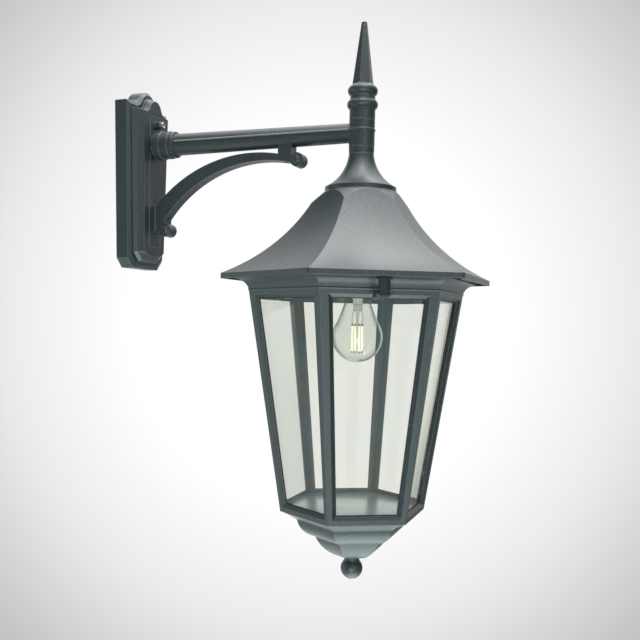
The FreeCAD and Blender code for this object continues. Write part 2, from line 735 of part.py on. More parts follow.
def spire_finial():
    ring_z = POST_TOP + FINIAL_RING_RISE
    steps = [[(POST_TOP_R, POST_TOP)]] + ring_steps(ring_z, FINIAL_RING_R, FINIAL_RING_H, POST_TOP_R)
    ring = turned((0, POST_TOP), steps + [[(SPIRE_BASE_R, SPIRE_BASE)], [(0, SPIRE_BASE)]])
    spire = six_sided((flat(SPIRE_BASE_R), SPIRE_BASE), [[(flat(SPIRE_TIP_R), SPIRE_BASE + SPIRE_H)]])
    stud = rod(STUD_R, V(0, 0, POST_TOP - STUD_LENGTH), V(0, 0, POST_TOP))
    return at_lantern(ring.fuse(spire).fuse(stud).removeSplitter())


def bell():
    rim = (BELL_RIM_R, ROOF_H + BELL_RIM_H)
    top = (BELL_TOP_R, POST_BOTTOM)
    skin = turned((0, ROOF_H), [[(BELL_RIM_R, ROOF_H)], [rim], [bowed(rim, top, -BELL_HOLLOW), top],
                                [(0, POST_BOTTOM)]])
    crown = POST_BOTTOM - BELL_CROWN
    rim_in = (BELL_RIM_R - BELL_WALL, ROOF_H)
    top_in = (BELL_TOP_R - BELL_WALL, crown)
    mid_in = bowed(rim_in, top_in, BELL_WALL - BELL_HOLLOW)
    hollow = turned((0, ROOF_H), [[rim_in], [mid_in, top_in], [(0, crown)]])
    hole = rod(TUBE_R + SEAT, V(0, 0, ROOF_H), V(0, 0, POST_BOTTOM + PAST))
    return at_lantern(skin.cut(hollow).cut(hole))


def threaded_tube():
    return at_lantern(bore(TUBE_BORE_R, TUBE_R, V(0, 0, TUBE_BOTTOM), V(0, 0, POST_BOTTOM + TUBE_BITE)))


def washer():
    high = ROOF_H - CAP_THICK
    return at_lantern(bore(TUBE_R + SEAT, WASHER_R, V(0, 0, high - WASHER_T), V(0, 0, high)))


def lock_nut():
    high = ROOF_H - CAP_THICK - WASHER_T
    low = high - NUT_H
    nut = six_sided((NUT_FLATS / 2, low), [[(NUT_FLATS / 2, high)]])
    return at_lantern(nut.cut(rod(TUBE_R + RUN, V(0, 0, low - PAST), V(0, 0, high + PAST))))


ROOF_CENTRE = curve_centre((flat(RIM_R), 0), (flat(ROOF_TOP_R), ROOF_H), ROOF_SWEEP)


def roof_side(z, offset):
    """Side distance at a height on the bell-cast curve, pushed inwards by an offset."""
    return ROOF_CENTRE[0] - math.sqrt((ROOF_SWEEP + offset) ** 2 - (ROOF_CENTRE[1] - z) ** 2)


def roof_height(side, offset):
    """Height of the same curve at a side distance."""
    return ROOF_CENTRE[1] - math.sqrt((ROOF_SWEEP + offset) ** 2 - (ROOF_CENTRE[0] - side) ** 2)


def roof_skin():
    half_way = ROOF_H / 2
    solid = six_sided((flat(RIM_R), -FASCIA_H), [
        [(flat(RIM_R), 0)],
        [(roof_side(half_way, 0), half_way), (flat(ROOF_TOP_R), ROOF_H)],
    ])
    tips = rod(RIM_R - TIP_CUT, V(0, 0, -FASCIA_H), V(0, 0, ROOF_H))
    return solid.common(tips).common(round_cap(-FASCIA_H, CAP_LOW_R, CAP_TOP_R, ROOF_H))


def round_cap(low, low_r, top_r, top):
    """Cone that rounds off the roof's six arrises below the bell, wide open under its foot."""
    wide = 2 * RIM_R
    return turned((0, low), [[(wide, low)], [(wide, CAP_LOW_Z)], [(low_r, CAP_LOW_Z)], [(top_r, top)],
                             [(0, top)]])


def roof_hollow():
    lip = flat(RIM_R) - FASCIA_WALL
    high = ROOF_H - CAP_THICK
    half_way = high / 2
    hollow = six_sided((lip, -FASCIA_H - PAST), [
        [(lip, roof_height(lip, ROOF_WALL))],
        [(roof_side(half_way, ROOF_WALL), half_way), (roof_side(high, ROOF_WALL), high)],
    ])
    slope = (CAP_LOW_R - CAP_TOP_R) / (ROOF_H - CAP_LOW_Z)
    cap_r = CAP_TOP_R - ROOF_WALL * math.hypot(1, slope) + slope * (ROOF_H - high)
    low_r = cap_r + slope * (high - CAP_LOW_Z)
    return hollow.common(round_cap(-2 * FASCIA_H, low_r, cap_r, high))


def stop_rib():
    """Ring inside the roof that the closed cage's top comes up to."""
    low = CORNICE_TOP + MOVE
    high = roof_height(flat(STOP_RIB_R - STOP_RIB_T), 0)
    outer = six_sided((flat(STOP_RIB_R), low), [[(flat(STOP_RIB_R), high)]])
    thin = flat(STOP_RIB_R) - STOP_RIB_T
    return outer.cut(six_sided((thin, low - PAST), [[(thin, high + PAST)]]))


def hinge_lugs():
    inside = KNUCKLE_W / 2 + MOVE
    low = HINGE_Z - KNUCKLE_R
    lugs = []
    for y in (inside, -inside - LUG_T):
        lugs.append(block(HINGE_REACH - KNUCKLE_R, HINGE_REACH + KNUCKLE_R, y, y + LUG_T, low, RIM_R))
    holes = rod(HINGE_PIN_R + RUN, V(HINGE_REACH, -RIM_R, HINGE_Z), V(HINGE_REACH, RIM_R, HINGE_Z))
    return turn(lugs[0].fuse(lugs[1]).cut(holes), HINGE_ANGLE)


def catch():
    """Bracket inside the roof that the latch's nose hooks over."""
    stem = CATCH_LIP - CATCH_REACH
    shelf = block(stem, CATCH_LIP, -CATCH_W / 2, CATCH_W / 2, CATCH_TOP - CATCH_T, CATCH_TOP)
    arm_up = block(stem, stem + CATCH_T, -CATCH_W / 2, CATCH_W / 2, CATCH_TOP - CATCH_T, RIM_R)
    return turn(shelf.fuse(arm_up), LATCH_ANGLE)


def roof():
    skin = roof_skin()
    shell = skin.cut(roof_hollow())
    inside = hinge_lugs().fuse(catch()).fuse(stop_rib())
    shell = shell.fuse(inside.common(skin_below(skin))).removeSplitter()
    hole = rod(TUBE_R + SEAT, V(0, 0, 0), V(0, 0, ROOF_H + PAST))
    return at_lantern(shell.cut(hole))


def skin_below(skin):
    """The roof's outer form carried on downwards, to trim what hangs inside it."""
    low = HINGE_Z - KNUCKLE_R - PAST
    inside = flat(RIM_R) - FASCIA_WALL
    return skin.fuse(six_sided((inside, low), [[(inside, 0)]]))


def hinge_pin():
    half = KNUCKLE_W / 2 + MOVE + LUG_T
    pin = rod(HINGE_PIN_R, V(HINGE_REACH, -half, HINGE_Z), V(HINGE_REACH, half, HINGE_Z))
    return at_lantern(turn(pin, HINGE_ANGLE))


def cage_side(z):
    """Side distance of the tapered cage at a height."""
    share = (z - CAGE_BOTTOM_Z) / (CAGE_TOP_Z - CAGE_BOTTOM_Z)
    return flat(CAGE_BOTTOM_R + (CAGE_TOP_R - CAGE_BOTTOM_R) * share)


CAGE_SLOPE = math.atan2(cage_side(CAGE_TOP_Z) - cage_side(CAGE_BOTTOM_Z), CAGE_TOP_Z - CAGE_BOTTOM_Z)


def on_side(shape, angle):
    """Move a shape drawn on a side (X along, Y up the slope, Z outwards) to that side of the cage."""
    along = V(0, 1, 0)
    climb = V(math.sin(CAGE_SLOPE), 0, math.cos(CAGE_SLOPE))
    outward = V(math.cos(CAGE_SLOPE), 0, -math.sin(CAGE_SLOPE))
    rotation = FreeCAD.Rotation(along, climb, outward, "ZXY")
    placed = shape.copy()
    placed.Placement = FreeCAD.Placement(V(cage_side(CAGE_TOP_Z), 0, CAGE_TOP_Z), rotation)
    return turn(placed, angle)


def climb_of(z):
    """Distance up the slope of a side for a height, counted from the cage's top."""
    return (z - CAGE_TOP_Z) / math.cos(CAGE_SLOPE)


def window_half(z):
    """Half width of the window opening at a height."""
    share = (z - WINDOW_BOTTOM) / (WINDOW_TOP - WINDOW_BOTTOM)
    post_w = POST_FACE_BOTTOM + (POST_FACE_TOP - POST_FACE_BOTTOM) * share
    return cage_side(z) * TAN30 - post_w


def window_wire(grow, out):
    """Window outline made larger all round, at a level across the wall."""
    low = climb_of(WINDOW_BOTTOM)
    high = climb_of(WINDOW_TOP)
    narrow = window_half(WINDOW_BOTTOM) + grow
    broad = window_half(WINDOW_TOP) + grow
    corners = [V(-narrow, low - grow, out), V(narrow, low - grow, out),
               V(broad, high + grow, out), V(-broad, high + grow, out)]
    return Part.makePolygon(corners + corners[:1])


def window_cutter():
    bevel = slab_between(window_wire(BEVEL, 0), window_wire(0, -BEVEL_DEEP))
    proud = Part.Face(window_wire(BEVEL, 0)).extrude(V(0, 0, PAST))
    through = Part.Face(window_wire(0, -BEVEL_DEEP)).extrude(V(0, 0, -2 * CAGE_WALL))
    return bevel.fuse(proud).fuse(through)


def glass_pane(angle):
    pane = Part.Face(window_wire(PANE_LAP, -CAGE_WALL)).extrude(V(0, 0, -PANE_T))
    return at_lantern(on_side(pane, angle))


def clip_seat():
    """Height up the slope where a clip's screw sits, just above the pane."""
    return climb_of(WINDOW_TOP) + PANE_LAP + SEAT + CLIP_W / 4


def clip_boss():
    low = climb_of(WINDOW_TOP) + PANE_LAP + SEAT
    inner = -CAGE_WALL - PANE_T
    return block(-CLIP_W / 2, CLIP_W / 2, low, low + CLIP_W / 2, inner, -CAGE_WALL)


def clip_screw_hole():
    inner = -CAGE_WALL - PANE_T
    depth = inner + CLIP_SCREW_DEEP + SEAT
    return rod(CLIP_SCREW_R + RUN, V(0, clip_seat(), inner - PAST), V(0, clip_seat(), depth))


def pane_clip():
    low = climb_of(WINDOW_TOP) + PANE_LAP - CLIP_BITE
    high = climb_of(WINDOW_TOP) + PANE_LAP + SEAT + CLIP_W / 2
    inner = -CAGE_WALL - PANE_T
    clip = block(-CLIP_W / 2, CLIP_W / 2, low, high, inner - CLIP_T, inner)
    start = V(0, clip_seat(), inner - CLIP_T - PAST)
    return clip.cut(rod(CLIP_SCREW_R + SEAT, start, V(0, clip_seat(), inner + PAST)))


def pane_clips():
    return at_lantern(Part.makeCompound([on_side(pane_clip(), angle) for angle in SIDES]))


def pane_clip_screws():
    head = V(0, clip_seat(), -CAGE_WALL - PANE_T - CLIP_T)
    tip = V(0, clip_seat(), -CAGE_WALL - PANE_T + CLIP_SCREW_DEEP)
    screw = pan_screw(head, tip, CLIP_SCREW_R, CLIP_SCREW_HEAD_R, CLIP_SCREW_HEAD)
    return at_lantern(Part.makeCompound([on_side(screw, angle) for angle in SIDES]))


def cage_skin():
    cove_top = CORNICE_TOP - CORNICE_LIP
    bead_z = CAGE_TOP_Z - CAGE_BEAD_H
    bead_low = (cage_side(bead_z), bead_z)
    cove_low = (cage_side(CAGE_TOP_Z), CAGE_TOP_Z)
    cove_high = (flat(COVE_R), cove_top)
    return six_sided((cage_side(CAGE_BOTTOM_Z), CAGE_BOTTOM_Z), [
        [bead_low],
        [bowed(bead_low, cove_low, CAGE_BEAD), cove_low],
        [bowed(cove_low, cove_high, -COVE_HOLLOW), cove_high],
        [(flat(CORNICE_R), cove_top)],
        [(flat(CORNICE_R), CORNICE_TOP)],
    ])


def cage_hollow():
    wall = CAGE_WALL / math.cos(CAGE_SLOPE)
    floor = CAGE_BOTTOM_Z + FLOOR_T
    return six_sided((cage_side(floor) - wall, floor), [
        [(cage_side(CAGE_TOP_Z) - wall, CAGE_TOP_Z)],
        [(cage_side(CAGE_TOP_Z) - wall, CORNICE_TOP + PAST)],
    ])


def knuckle():
    half = KNUCKLE_W / 2
    barrel = rod(KNUCKLE_R, V(HINGE_REACH, -half, HINGE_Z), V(HINGE_REACH, half, HINGE_Z))
    root = cage_side(CAGE_TOP_Z)
    web = block(root, HINGE_REACH, -half, half, CORNICE_TOP - CORNICE_LIP, HINGE_Z - MOVE)
    hole = rod(HINGE_PIN_R + RUN, V(HINGE_REACH, -KNUCKLE_W, HINGE_Z), V(HINGE_REACH, KNUCKLE_W, HINGE_Z))
    return turn(barrel.fuse(web).cut(hole), HINGE_ANGLE)


def latch_cheeks():
    inside = LATCH_BARREL_W / 2 + MOVE
    root = cage_side(CAGE_TOP_Z) - CAGE_WALL
    cheeks = []
    for y in (inside, -inside - CHEEK_T):
        plate = block(root, LATCH_REACH, y, y + CHEEK_T, LATCH_PIN_Z - CHEEK_R, LATCH_PIN_Z + CHEEK_R)
        nose = rod(CHEEK_R, V(LATCH_REACH, y, LATCH_PIN_Z), V(LATCH_REACH, y + CHEEK_T, LATCH_PIN_Z))
        cheeks.append(plate.fuse(nose).removeSplitter())
    side = V(0, LATCH_BARREL_W, 0)
    middle = V(LATCH_REACH, 0, LATCH_PIN_Z)
    hole = rod(LATCH_PIN_R + RUN, middle - side, middle + side)
    return turn(cheeks[0].fuse(cheeks[1]).cut(hole), LATCH_ANGLE)


def cage_frame():
    frame = cage_skin().cut(cage_hollow())
    for angle in SIDES:
        frame = frame.cut(on_side(window_cutter(), angle))
    for angle in SIDES:
        frame = frame.fuse(on_side(clip_boss(), angle))
    boss = rod(BOSS_R, V(0, 0, BOSS_BOTTOM), V(0, 0, CAGE_BOTTOM_Z))
    frame = frame.fuse(boss).fuse(knuckle()).fuse(latch_cheeks().cut(cage_hollow())).removeSplitter()
    holes = [on_side(clip_screw_hole(), angle) for angle in SIDES]
    holes.append(rod(STUD_R + RUN, V(0, 0, BOSS_BOTTOM - PAST), V(0, 0, BALL_STUD_TOP + SEAT)))
    return at_lantern(frame.cut(Part.makeCompound(holes)))


def latch_pin():
    half = LATCH_BARREL_W / 2 + MOVE + CHEEK_T
    pin = rod(LATCH_PIN_R, V(LATCH_REACH, -half, LATCH_PIN_Z), V(LATCH_REACH, half, LATCH_PIN_Z))
    return at_lantern(turn(pin, LATCH_ANGLE))


def latch():
    """Plate on a barrel, with a nose over the catch, a thumb flange and two ribs."""
    front = LATCH_BACK + LATCH_T
    half = LATCH_W / 2
    narrow = LATCH_BARREL_W / 2
    nose_half = CATCH_W / 2
    flange_half = LATCH_FLANGE_W / 2
    plate_low = LATCH_PIN_Z + CHEEK_R + 2 * MOVE
    nose_low = CATCH_TOP + MOVE
    nose_top = nose_low + NOSE_T
    flange_low = LATCH_FLANGE_TOP - LATCH_FLANGE_H
    foot = V(LATCH_REACH, -narrow, LATCH_PIN_Z)
    shape = rod(LATCH_BARREL_R, foot, foot + V(0, LATCH_BARREL_W, 0))
    pieces = [
        block(LATCH_BACK, front, -narrow, narrow, LATCH_PIN_Z, plate_low),
        block(LATCH_BACK, front, -half, half, plate_low, LATCH_FLANGE_TOP),
        block(LATCH_BACK, LATCH_BACK + LATCH_NECK_T, -nose_half, nose_half, LATCH_FLANGE_TOP, nose_top),
        block(CATCH_LIP - CATCH_BITE, LATCH_BACK, -nose_half, nose_half, nose_low, nose_top),
        block(LATCH_BACK, front + LATCH_FLANGE_OUT, -flange_half, flange_half, flange_low, LATCH_FLANGE_TOP),
    ]
    for y in (-half, half - LATCH_RIB):
        pieces.append(block(LATCH_BACK, front + LATCH_RIB_OUT, y, y + LATCH_RIB, plate_low, flange_low))
    for piece in pieces:
        shape = shape.fuse(piece)
    hole = rod(LATCH_PIN_R + RUN, foot - V(0, PAST, 0), foot + V(0, LATCH_BARREL_W + PAST, 0))
    return at_lantern(turn(shape.removeSplitter().cut(hole), LATCH_ANGLE))


def pan_level(share, drop):
    return (flat(share * CAGE_BOTTOM_R), CAGE_BOTTOM_Z - drop)


def bottom_pan():
    """Sloped band, swelling tier, small step and a bowl, hollow from above."""
    rim = (flat(CAGE_BOTTOM_R - PAN_RIM_IN), CAGE_BOTTOM_Z)
    shelf = pan_level(PAN_SHELF_SHARE, PAN_SHELF_DROP)
    step = pan_level(PAN_STEP_SHARE, PAN_STEP_DROP)
    bowl = pan_level(PAN_BOWL_SHARE, PAN_BOWL_DROP)
    bottom = pan_level(PAN_BOTTOM_SHARE, PAN_DROP)
    outer = six_sided(bottom, [
        [bowed(bottom, bowl, PAN_BOWL_BOW), bowl],
        [step],
        [bowed(step, shelf, PAN_TIER_BOW), shelf],
        [bowed(shelf, rim, -PAN_BAND_HOLLOW), rim],
    ])
    wall = flat(PAN_SIDE)
    bowl_in, shelf_in, rim_in = [(side - wall, z) for side, z in (bowl, shelf, rim)]
    floor = PAN_BOTTOM_Z + PAN_FLOOR
    hollow = six_sided((bowl_in[0] - wall, floor), [
        [bowl_in],
        [bowed(bowl_in, shelf_in, PAN_TIER_BOW), shelf_in],
        [rim_in],
    ])
    hole = rod(STUD_R + SEAT, V(0, 0, PAN_BOTTOM_Z - PAST), V(0, 0, floor + PAST))
    return at_lantern(outer.cut(hollow).cut(hole))


def ball_finial():
    neck = (BALL_NECK_R, BALL_Z + math.sqrt(BALL_R ** 2 - BALL_NECK_R ** 2))
    collar = (BALL_COLLAR_R, PAN_BOTTOM_Z)
    ball = turned((0, BALL_Z - BALL_R), [[(BALL_R, BALL_Z), neck],
                                         [bowed(neck, collar, -BALL_COLLAR_HOLLOW), collar],
                                         [(0, PAN_BOTTOM_Z)]])
    stud = rod(STUD_R, V(0, 0, PAN_BOTTOM_Z), V(0, 0, BALL_STUD_TOP))
    return at_lantern(ball.fuse(stud))


def holder_cap():
    inside = HOLDER_R - HOLDER_WALL
    straight = HOLDER_SPLIT + INSERT_T
    dome = [(inside, HOLDER_TOP - HOLDER_CONE), (TUBE_R + HOLDER_WALL, HOLDER_TOP)]
    skin = turned((0, HOLDER_SPLIT), [[(HOLDER_R, HOLDER_SPLIT)], [(HOLDER_R, straight)], dome,
                                      [(0, HOLDER_TOP)]])
    hollow = turned((0, HOLDER_SPLIT), [[(inside, HOLDER_SPLIT)], [(inside, straight)],
                                        [(TUBE_R + HOLDER_WALL / 2, TUBE_BOTTOM)], [(0, TUBE_BOTTOM)]])
    hole = rod(TUBE_R + RUN, V(0, 0, HOLDER_SPLIT), V(0, 0, HOLDER_TOP + PAST))
    return at_lantern(skin.cut(hollow).cut(hole))


def holder_insert():
    disc = rod(HOLDER_R - HOLDER_WALL - SEAT, V(0, 0, HOLDER_SPLIT), V(0, 0, HOLDER_SPLIT + INSERT_T))
    disc = disc.cut(rod(FLEX_R + SEAT, V(0, 0, FLEX_END), V(0, 0, TUBE_BOTTOM)))
    spring = rod(LAMP_TIP_R, V(0, 0, LAMP_TIP), V(0, 0, HOLDER_SPLIT))
    return at_lantern(disc.fuse(spring))


def holder_body():
    skirt = bore(LAMP_CAP_R + SEAT, HOLDER_R, V(0, 0, HOLDER_LOW), V(0, 0, HOLDER_SPLIT))
    ring_low = V(0, 0, HOLDER_RING_TOP - HOLDER_RING_H)
    ring = bore(LAMP_CAP_R + SEAT, HOLDER_RING_R, ring_low, V(0, 0, HOLDER_RING_TOP))
    return at_lantern(skirt.fuse(ring).removeSplitter())


def lamp_cap():
    shoulder = (LAMP_CAP_R, LAMP_CAP_TOP - LAMP_CROWN_H)
    cap = turned((0, LAMP_CAP_LOW), [[(LAMP_CAP_R, LAMP_CAP_LOW)], [shoulder], [(LAMP_CROWN_R, LAMP_CAP_TOP)],
                                     [(LAMP_TIP_R, LAMP_CAP_TOP)], [(LAMP_TIP_R, LAMP_TIP)], [(0, LAMP_TIP)]])
    return at_lantern(cap)


def globe_solid(by):
    """Pear form of the lamp's glass, from its mouth in the cap round to the bottom."""
    radius = LAMP_R - by
    centre = LAMP_BOTTOM + LAMP_R

    def ball(degrees):
        angle = math.radians(degrees)
        return (radius * math.cos(angle), centre + radius * math.sin(angle))

    mouth = (LAMP_MOUTH_R - by, LAMP_CAP_LOW)
    neck = (LAMP_NECK_R - by, LAMP_NECK_Z)
    join = ball(LAMP_JOIN)
    return turned((0, LAMP_CAP_LOW), [[mouth], [neck], [bowed(neck, join, LAMP_NECK_HOLLOW), join],
                                      [ball((LAMP_JOIN - 90) / 2), (0, centre - radius)]])


def lamp_globe():
    return at_lantern(globe_solid(0).cut(globe_solid(GLASS_T)))


def lamp_stem():
    tip = FILAMENT_LOW - FILAMENT_R
    pinch = FILAMENT_TOP + STEM_FLARE_H
    flare_end = (STEM_PINCH_R, LAMP_CAP_LOW - STEM_FLARE_H)
    stem = turned((0, LAMP_CAP_LOW), [[(STEM_FLARE_R, LAMP_CAP_LOW)], [flare_end], [(STEM_PINCH_R, pinch)],
                                      [(STEM_R, pinch - STEM_PINCH_H)], [(STEM_R, tip)], [(0, tip)]])
    return at_lantern(stem)


def lamp_filaments():
    gap = STEM_R + RUN
    pieces = []
    for n in range(FILAMENTS):
        turned_by = 360 / FILAMENTS * n + FILAMENT_TURN
        stick = rod(FILAMENT_R, V(FILAMENT_RING, 0, FILAMENT_LOW), V(FILAMENT_RING, 0, FILAMENT_TOP))
        for z in (FILAMENT_LOW, FILAMENT_TOP):
            stick = stick.fuse(rod(LEAD_R, V(gap, 0, z), V(FILAMENT_RING, 0, z)))
        pieces.append(turn(stick, turned_by))
    return at_lantern(Part.makeCompound(pieces))


def lamp_flex():
    """Cable from the terminal block up, along the arm, and down the tube into the lampholder."""
    bend = FLEX_BEND
    slack = bend * (1 - math.cos(math.radians(45)))
    end = RIM_Z + FLEX_END
    edges = path((FLEX_X, TERMINAL_TOP), [
        [(FLEX_X, ARM_Z - bend)],
        [(FLEX_X + slack, ARM_Z - slack), (FLEX_X + bend, ARM_Z)],
        [(PROJECTION - bend, ARM_Z)],
        [(PROJECTION - slack, ARM_Z - slack), (PROJECTION, ARM_Z - bend)],
        [(PROJECTION, end)],
    ])
    section = Part.Wire(Part.Circle(V(FLEX_X, 0, TERMINAL_TOP), UP, FLEX_R).toShape())
    return Part.Wire(edges).makePipeShell([section], True, False)


def main():
    os.makedirs("parts", exist_ok=True)
    pieces = {
        "wall_plate": wall_plate(),
        "mounting_bar": mounting_bar(),
        "plate_screws": plate_screws(),
        "terminal_block": terminal_block(),
        "arm": arm(),
        "arm_screws": arm_screws(),
        "brace": brace(),
        "brace_screws": brace_screws(),
        "spire_finial": spire_finial(),
        "bell": bell(),
        "threaded_tube": threaded_tube(),
        "washer": washer(),
        "lock_nut": lock_nut(),
        "roof": roof(),
        "hinge_pin": hinge_pin(),
        "holder_cap": holder_cap(),
        "holder_insert": holder_insert(),
        "holder_body": holder_body(),
        "lamp_cap": lamp_cap(),
        "lamp_globe": lamp_globe(),
        "lamp_stem": lamp_stem(),
        "lamp_filaments": lamp_filaments(),
        "lamp_flex": lamp_flex(),
        "cage_frame": cage_frame(),
        "pane_clips": pane_clips(),
        "pane_clip_screws": pane_clip_screws(),
        "bottom_pan": bottom_pan(),
        "ball_finial": ball_finial(),
        "latch_pin": latch_pin(),
        "latch": latch(),
    }
    for number, angle in enumerate(SIDES, 1):
        pieces["glass_pane_%d" % number] = glass_pane(angle)
    for name, shape in pieces.items():
        print(name, "solids", len(shape.Solids), "valid", shape.isValid(), "volume", round(shape.Volume))
        shape.exportStep("parts/%s.step" % name)


main()
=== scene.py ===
import json
import math

import bpy
from mathutils import Matrix, Vector


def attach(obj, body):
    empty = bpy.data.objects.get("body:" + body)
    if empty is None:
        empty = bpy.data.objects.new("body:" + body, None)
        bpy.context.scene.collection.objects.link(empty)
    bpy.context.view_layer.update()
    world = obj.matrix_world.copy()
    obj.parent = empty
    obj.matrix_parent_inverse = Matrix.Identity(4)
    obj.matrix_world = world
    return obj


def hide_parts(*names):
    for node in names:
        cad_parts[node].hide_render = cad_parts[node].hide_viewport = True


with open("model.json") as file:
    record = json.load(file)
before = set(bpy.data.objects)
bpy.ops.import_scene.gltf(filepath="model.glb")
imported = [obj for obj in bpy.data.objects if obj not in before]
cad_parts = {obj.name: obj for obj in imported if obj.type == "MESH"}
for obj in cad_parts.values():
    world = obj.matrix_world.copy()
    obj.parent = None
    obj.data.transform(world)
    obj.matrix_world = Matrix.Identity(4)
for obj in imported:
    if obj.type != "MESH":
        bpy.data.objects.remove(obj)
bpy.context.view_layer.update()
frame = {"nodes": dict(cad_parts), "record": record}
NODES = frame["nodes"]

MM = 0.001

# Axis of the lantern and its lamp, at the top edge of the roof's fascia, in metres
LANTERN = Vector((0.309, 0.0, -0.1143))

# Camera fitted to the photograph, in metres, degrees and pixels of a 640 pixel frame
PIXELS = 640
EYE = Vector((0.606, -0.9118, -0.1687))
YAW = math.radians(21.02)
PITCH = math.radians(-2.74)
ROLL = math.radians(1.22)
FOCAL_PIXELS = 811.0
CENTRE_X = 314.3
CENTRE_Y = 361.5
SENSOR = 36.0

# Studio floor, in metres
FLOOR_Z = -1.2
FLOOR_R = 1.5
FLOOR_SIDES = 96
FLOOR_COLOUR = (0.82, 0.82, 0.81)
FLOOR_ROUGH = 0.7

# Grey levels of the world by angle from an axis, in shares of half a turn: the backdrop lies round the middle of
# the picture, and the room that lights the part lies round an axis raised from there
BACKDROP_GREYS = [(0.0, 1.0), (0.075, 1.0), (0.119, 0.83), (0.162, 0.55), (0.22, 0.55), (0.4, 0.75)]
ROOM_GREYS = [(0.0, 1.0), (0.212, 1.0), (0.242, 0.85), (0.266, 0.28), (0.3, 0.1), (0.48, 0.12), (0.66, 0.22),
              (1.0, 0.22)]
ROOM_RAISE = 0.4

# Softboxes: name, place, width and height in metres, and power in watts. The aimed ones add their target and colour.
WHITE = (1.0, 1.0, 1.0)
COOL = (0.86, 1.0, 1.0)
PAN_SPOT = Vector((0.36, 0.0, -0.3))
OVERHEAD_BOXES = [
    ("top_box", (0.44, 0.03, 1.15), 2.0, 1.95, 20.5),
    ("strip_box", (0.42, -0.05, 1.12), 0.5, 1.6, 9.5),
]
AIMED_BOXES = [
    ("right_box", (1.7, -1.2, 0.3), 0.9, 1.3, 2.4, LANTERN, WHITE),
    ("low_right_box", (1.25, -1.05, -0.85), 1.2, 1.1, 3.7, LANTERN, COOL),
    ("left_box", (-1.1, -0.35, -0.45), 1.2, 1.6, 4.7, LANTERN, COOL),
    ("front_box", (0.75, -2.1, -0.9), 0.9, 0.9, 11.5, LANTERN, COOL),
    ("floor_box", (0.4, -0.02, -1.05), 0.75, 0.75, 4.4, PAN_SPOT, COOL),
    ("low_back_box", (-0.2, 0.65, -1.1), 0.7, 0.7, 1.6, LANTERN, WHITE),
]

# Rounded arrises: samples of the bevel, and how fast the mask of the painted arris highlight rises across it
BEVEL_SAMPLES = 6
ARRIS_GAIN = 4.0

# Faint colours of the film on the glass
PANE_FILM = [(0.0, (0.86, 1.0, 0.92)), (0.36, (0.94, 1.0, 0.82)), (0.45, (1.0, 0.91, 0.86)),
             (0.53, (0.76, 0.92, 1.0)), (0.61, (0.86, 1.0, 0.87)), (1.0, (0.93, 1.0, 0.86))]
LAMP_FILM = [(0.0, (0.95, 1.0, 0.98)), (0.45, (1.0, 0.97, 0.92)), (0.55, (0.86, 1.0, 0.96)),
             (1.0, (1.0, 0.98, 0.96))]

# Turned pieces and wires: steps round, weld distance in millimetres, and a wire's steps
STEM_STEPS = 48
RING_STEPS = 40
BOSS_STEPS = 32
STICK_STEPS = 20
WELD = 0.002
WIRE_STEPS = 6
WIRE_ROUND = 3

# Angles in degrees below which faces shade smooth
ROUND_ANGLE = 60.0
EDGE_ANGLE = 40.0
FLAT_ANGLE = 30.0

# Lamp, in millimetres from its axis and from the top edge of the roof's fascia
STEM_PROFILE = [(0.0, -22.1), (9.0, -22.1), (7.4, -23.2), (6.2, -24.8), (5.7, -27.0), (5.75, -29.5), (5.3, -31.0),
                (4.7, -31.8), (5.3, -32.6), (5.65, -34.5), (5.5, -37.0), (4.9, -38.8), (3.4, -40.0), (2.4, -41.5),
                (1.9, -44.0), (1.6, -48.0), (1.5, -56.0), (1.5, -87.0), (1.1, -88.6), (0.0, -88.9)]
STICK_PROFILE = [(0.0, 16.2), (0.6, 16.1), (0.92, 15.6), (0.95, 14.0), (0.95, -14.0), (0.92, -15.6), (0.6, -16.1),
                 (0.0, -16.2)]
STICK_RING = 6.3
STICK_MIDDLE = -72.0
STICK_ENDS = (-56.0, -88.0)
STICK_TURNS = (40.0, 130.0, 220.0, 310.0)
TIE_START = 1.0
TIE_R = 0.3
SLEEVE_PROFILE = [(0.0, 1.3), (0.7, 1.3), (1.15, 0.8), (1.15, -0.7), (1.3, -1.0), (1.15, -1.3), (0.0, -1.3)]
RING_PROFILE = [(5.1, 0.35), (5.75, 0.3), (5.95, 0.0), (5.75, -0.3), (5.1, -0.35), (5.1, 0.35)]
RING_HEIGHTS = (-26.2, -31.8, -38.6)
LEAD_R = 0.38
LEAD_WAY = [(3.0, -37.5), (5.0, -40.5), (6.9, -48.0), (6.7, -53.0), (6.3, -56.0)]
LEAD_TURNS = (40.0, 220.0)

# Rolled ends of the brace: distance from the wall and height, half the brace's width, and the boss on each end
ROLLS = ((50.0, -54.4), (230.3, 25.8))
BRACE_HALF = 8.0
EYE_PROFILE = [(0.0, 1.5), (1.8, 1.35), (3.2, 0.8), (3.9, 0.15), (4.7, 0.5), (5.8, 0.35), (6.5, -0.3), (0.0, -0.3)]

# Seam of the arm: its ends, as distance from the wall and half width, its height, and the bead's overhang and radius
SEAM_ENDS = ((66.0, 13.55), (296.0, 11.35))
SEAM_Z = 56.0
SEAM_PROUD = 0.6
SEAM_R = 0.85

# Ring round the plate's screw head
SCREW_PLACE = (41.1, 0.0, 80.0)
SCREW_RING = [(2.4, 0.2), (2.6, 0.75), (3.0, 0.95), (3.5, 0.75), (3.75, 0.1), (3.6, -0.5), (2.4, -0.5), (2.4, 0.2)]

# Sheet on the cage's floor, its pale colour painted light and reflection: half width across corners, the floor's
# # height, thickness, eased edge and its rise
SHEET_R = 82.0
SHEET_Z = -385.3
SHEET_T = 0.9
SHEET_EASE = 0.5
SHEET_RISE = 0.15
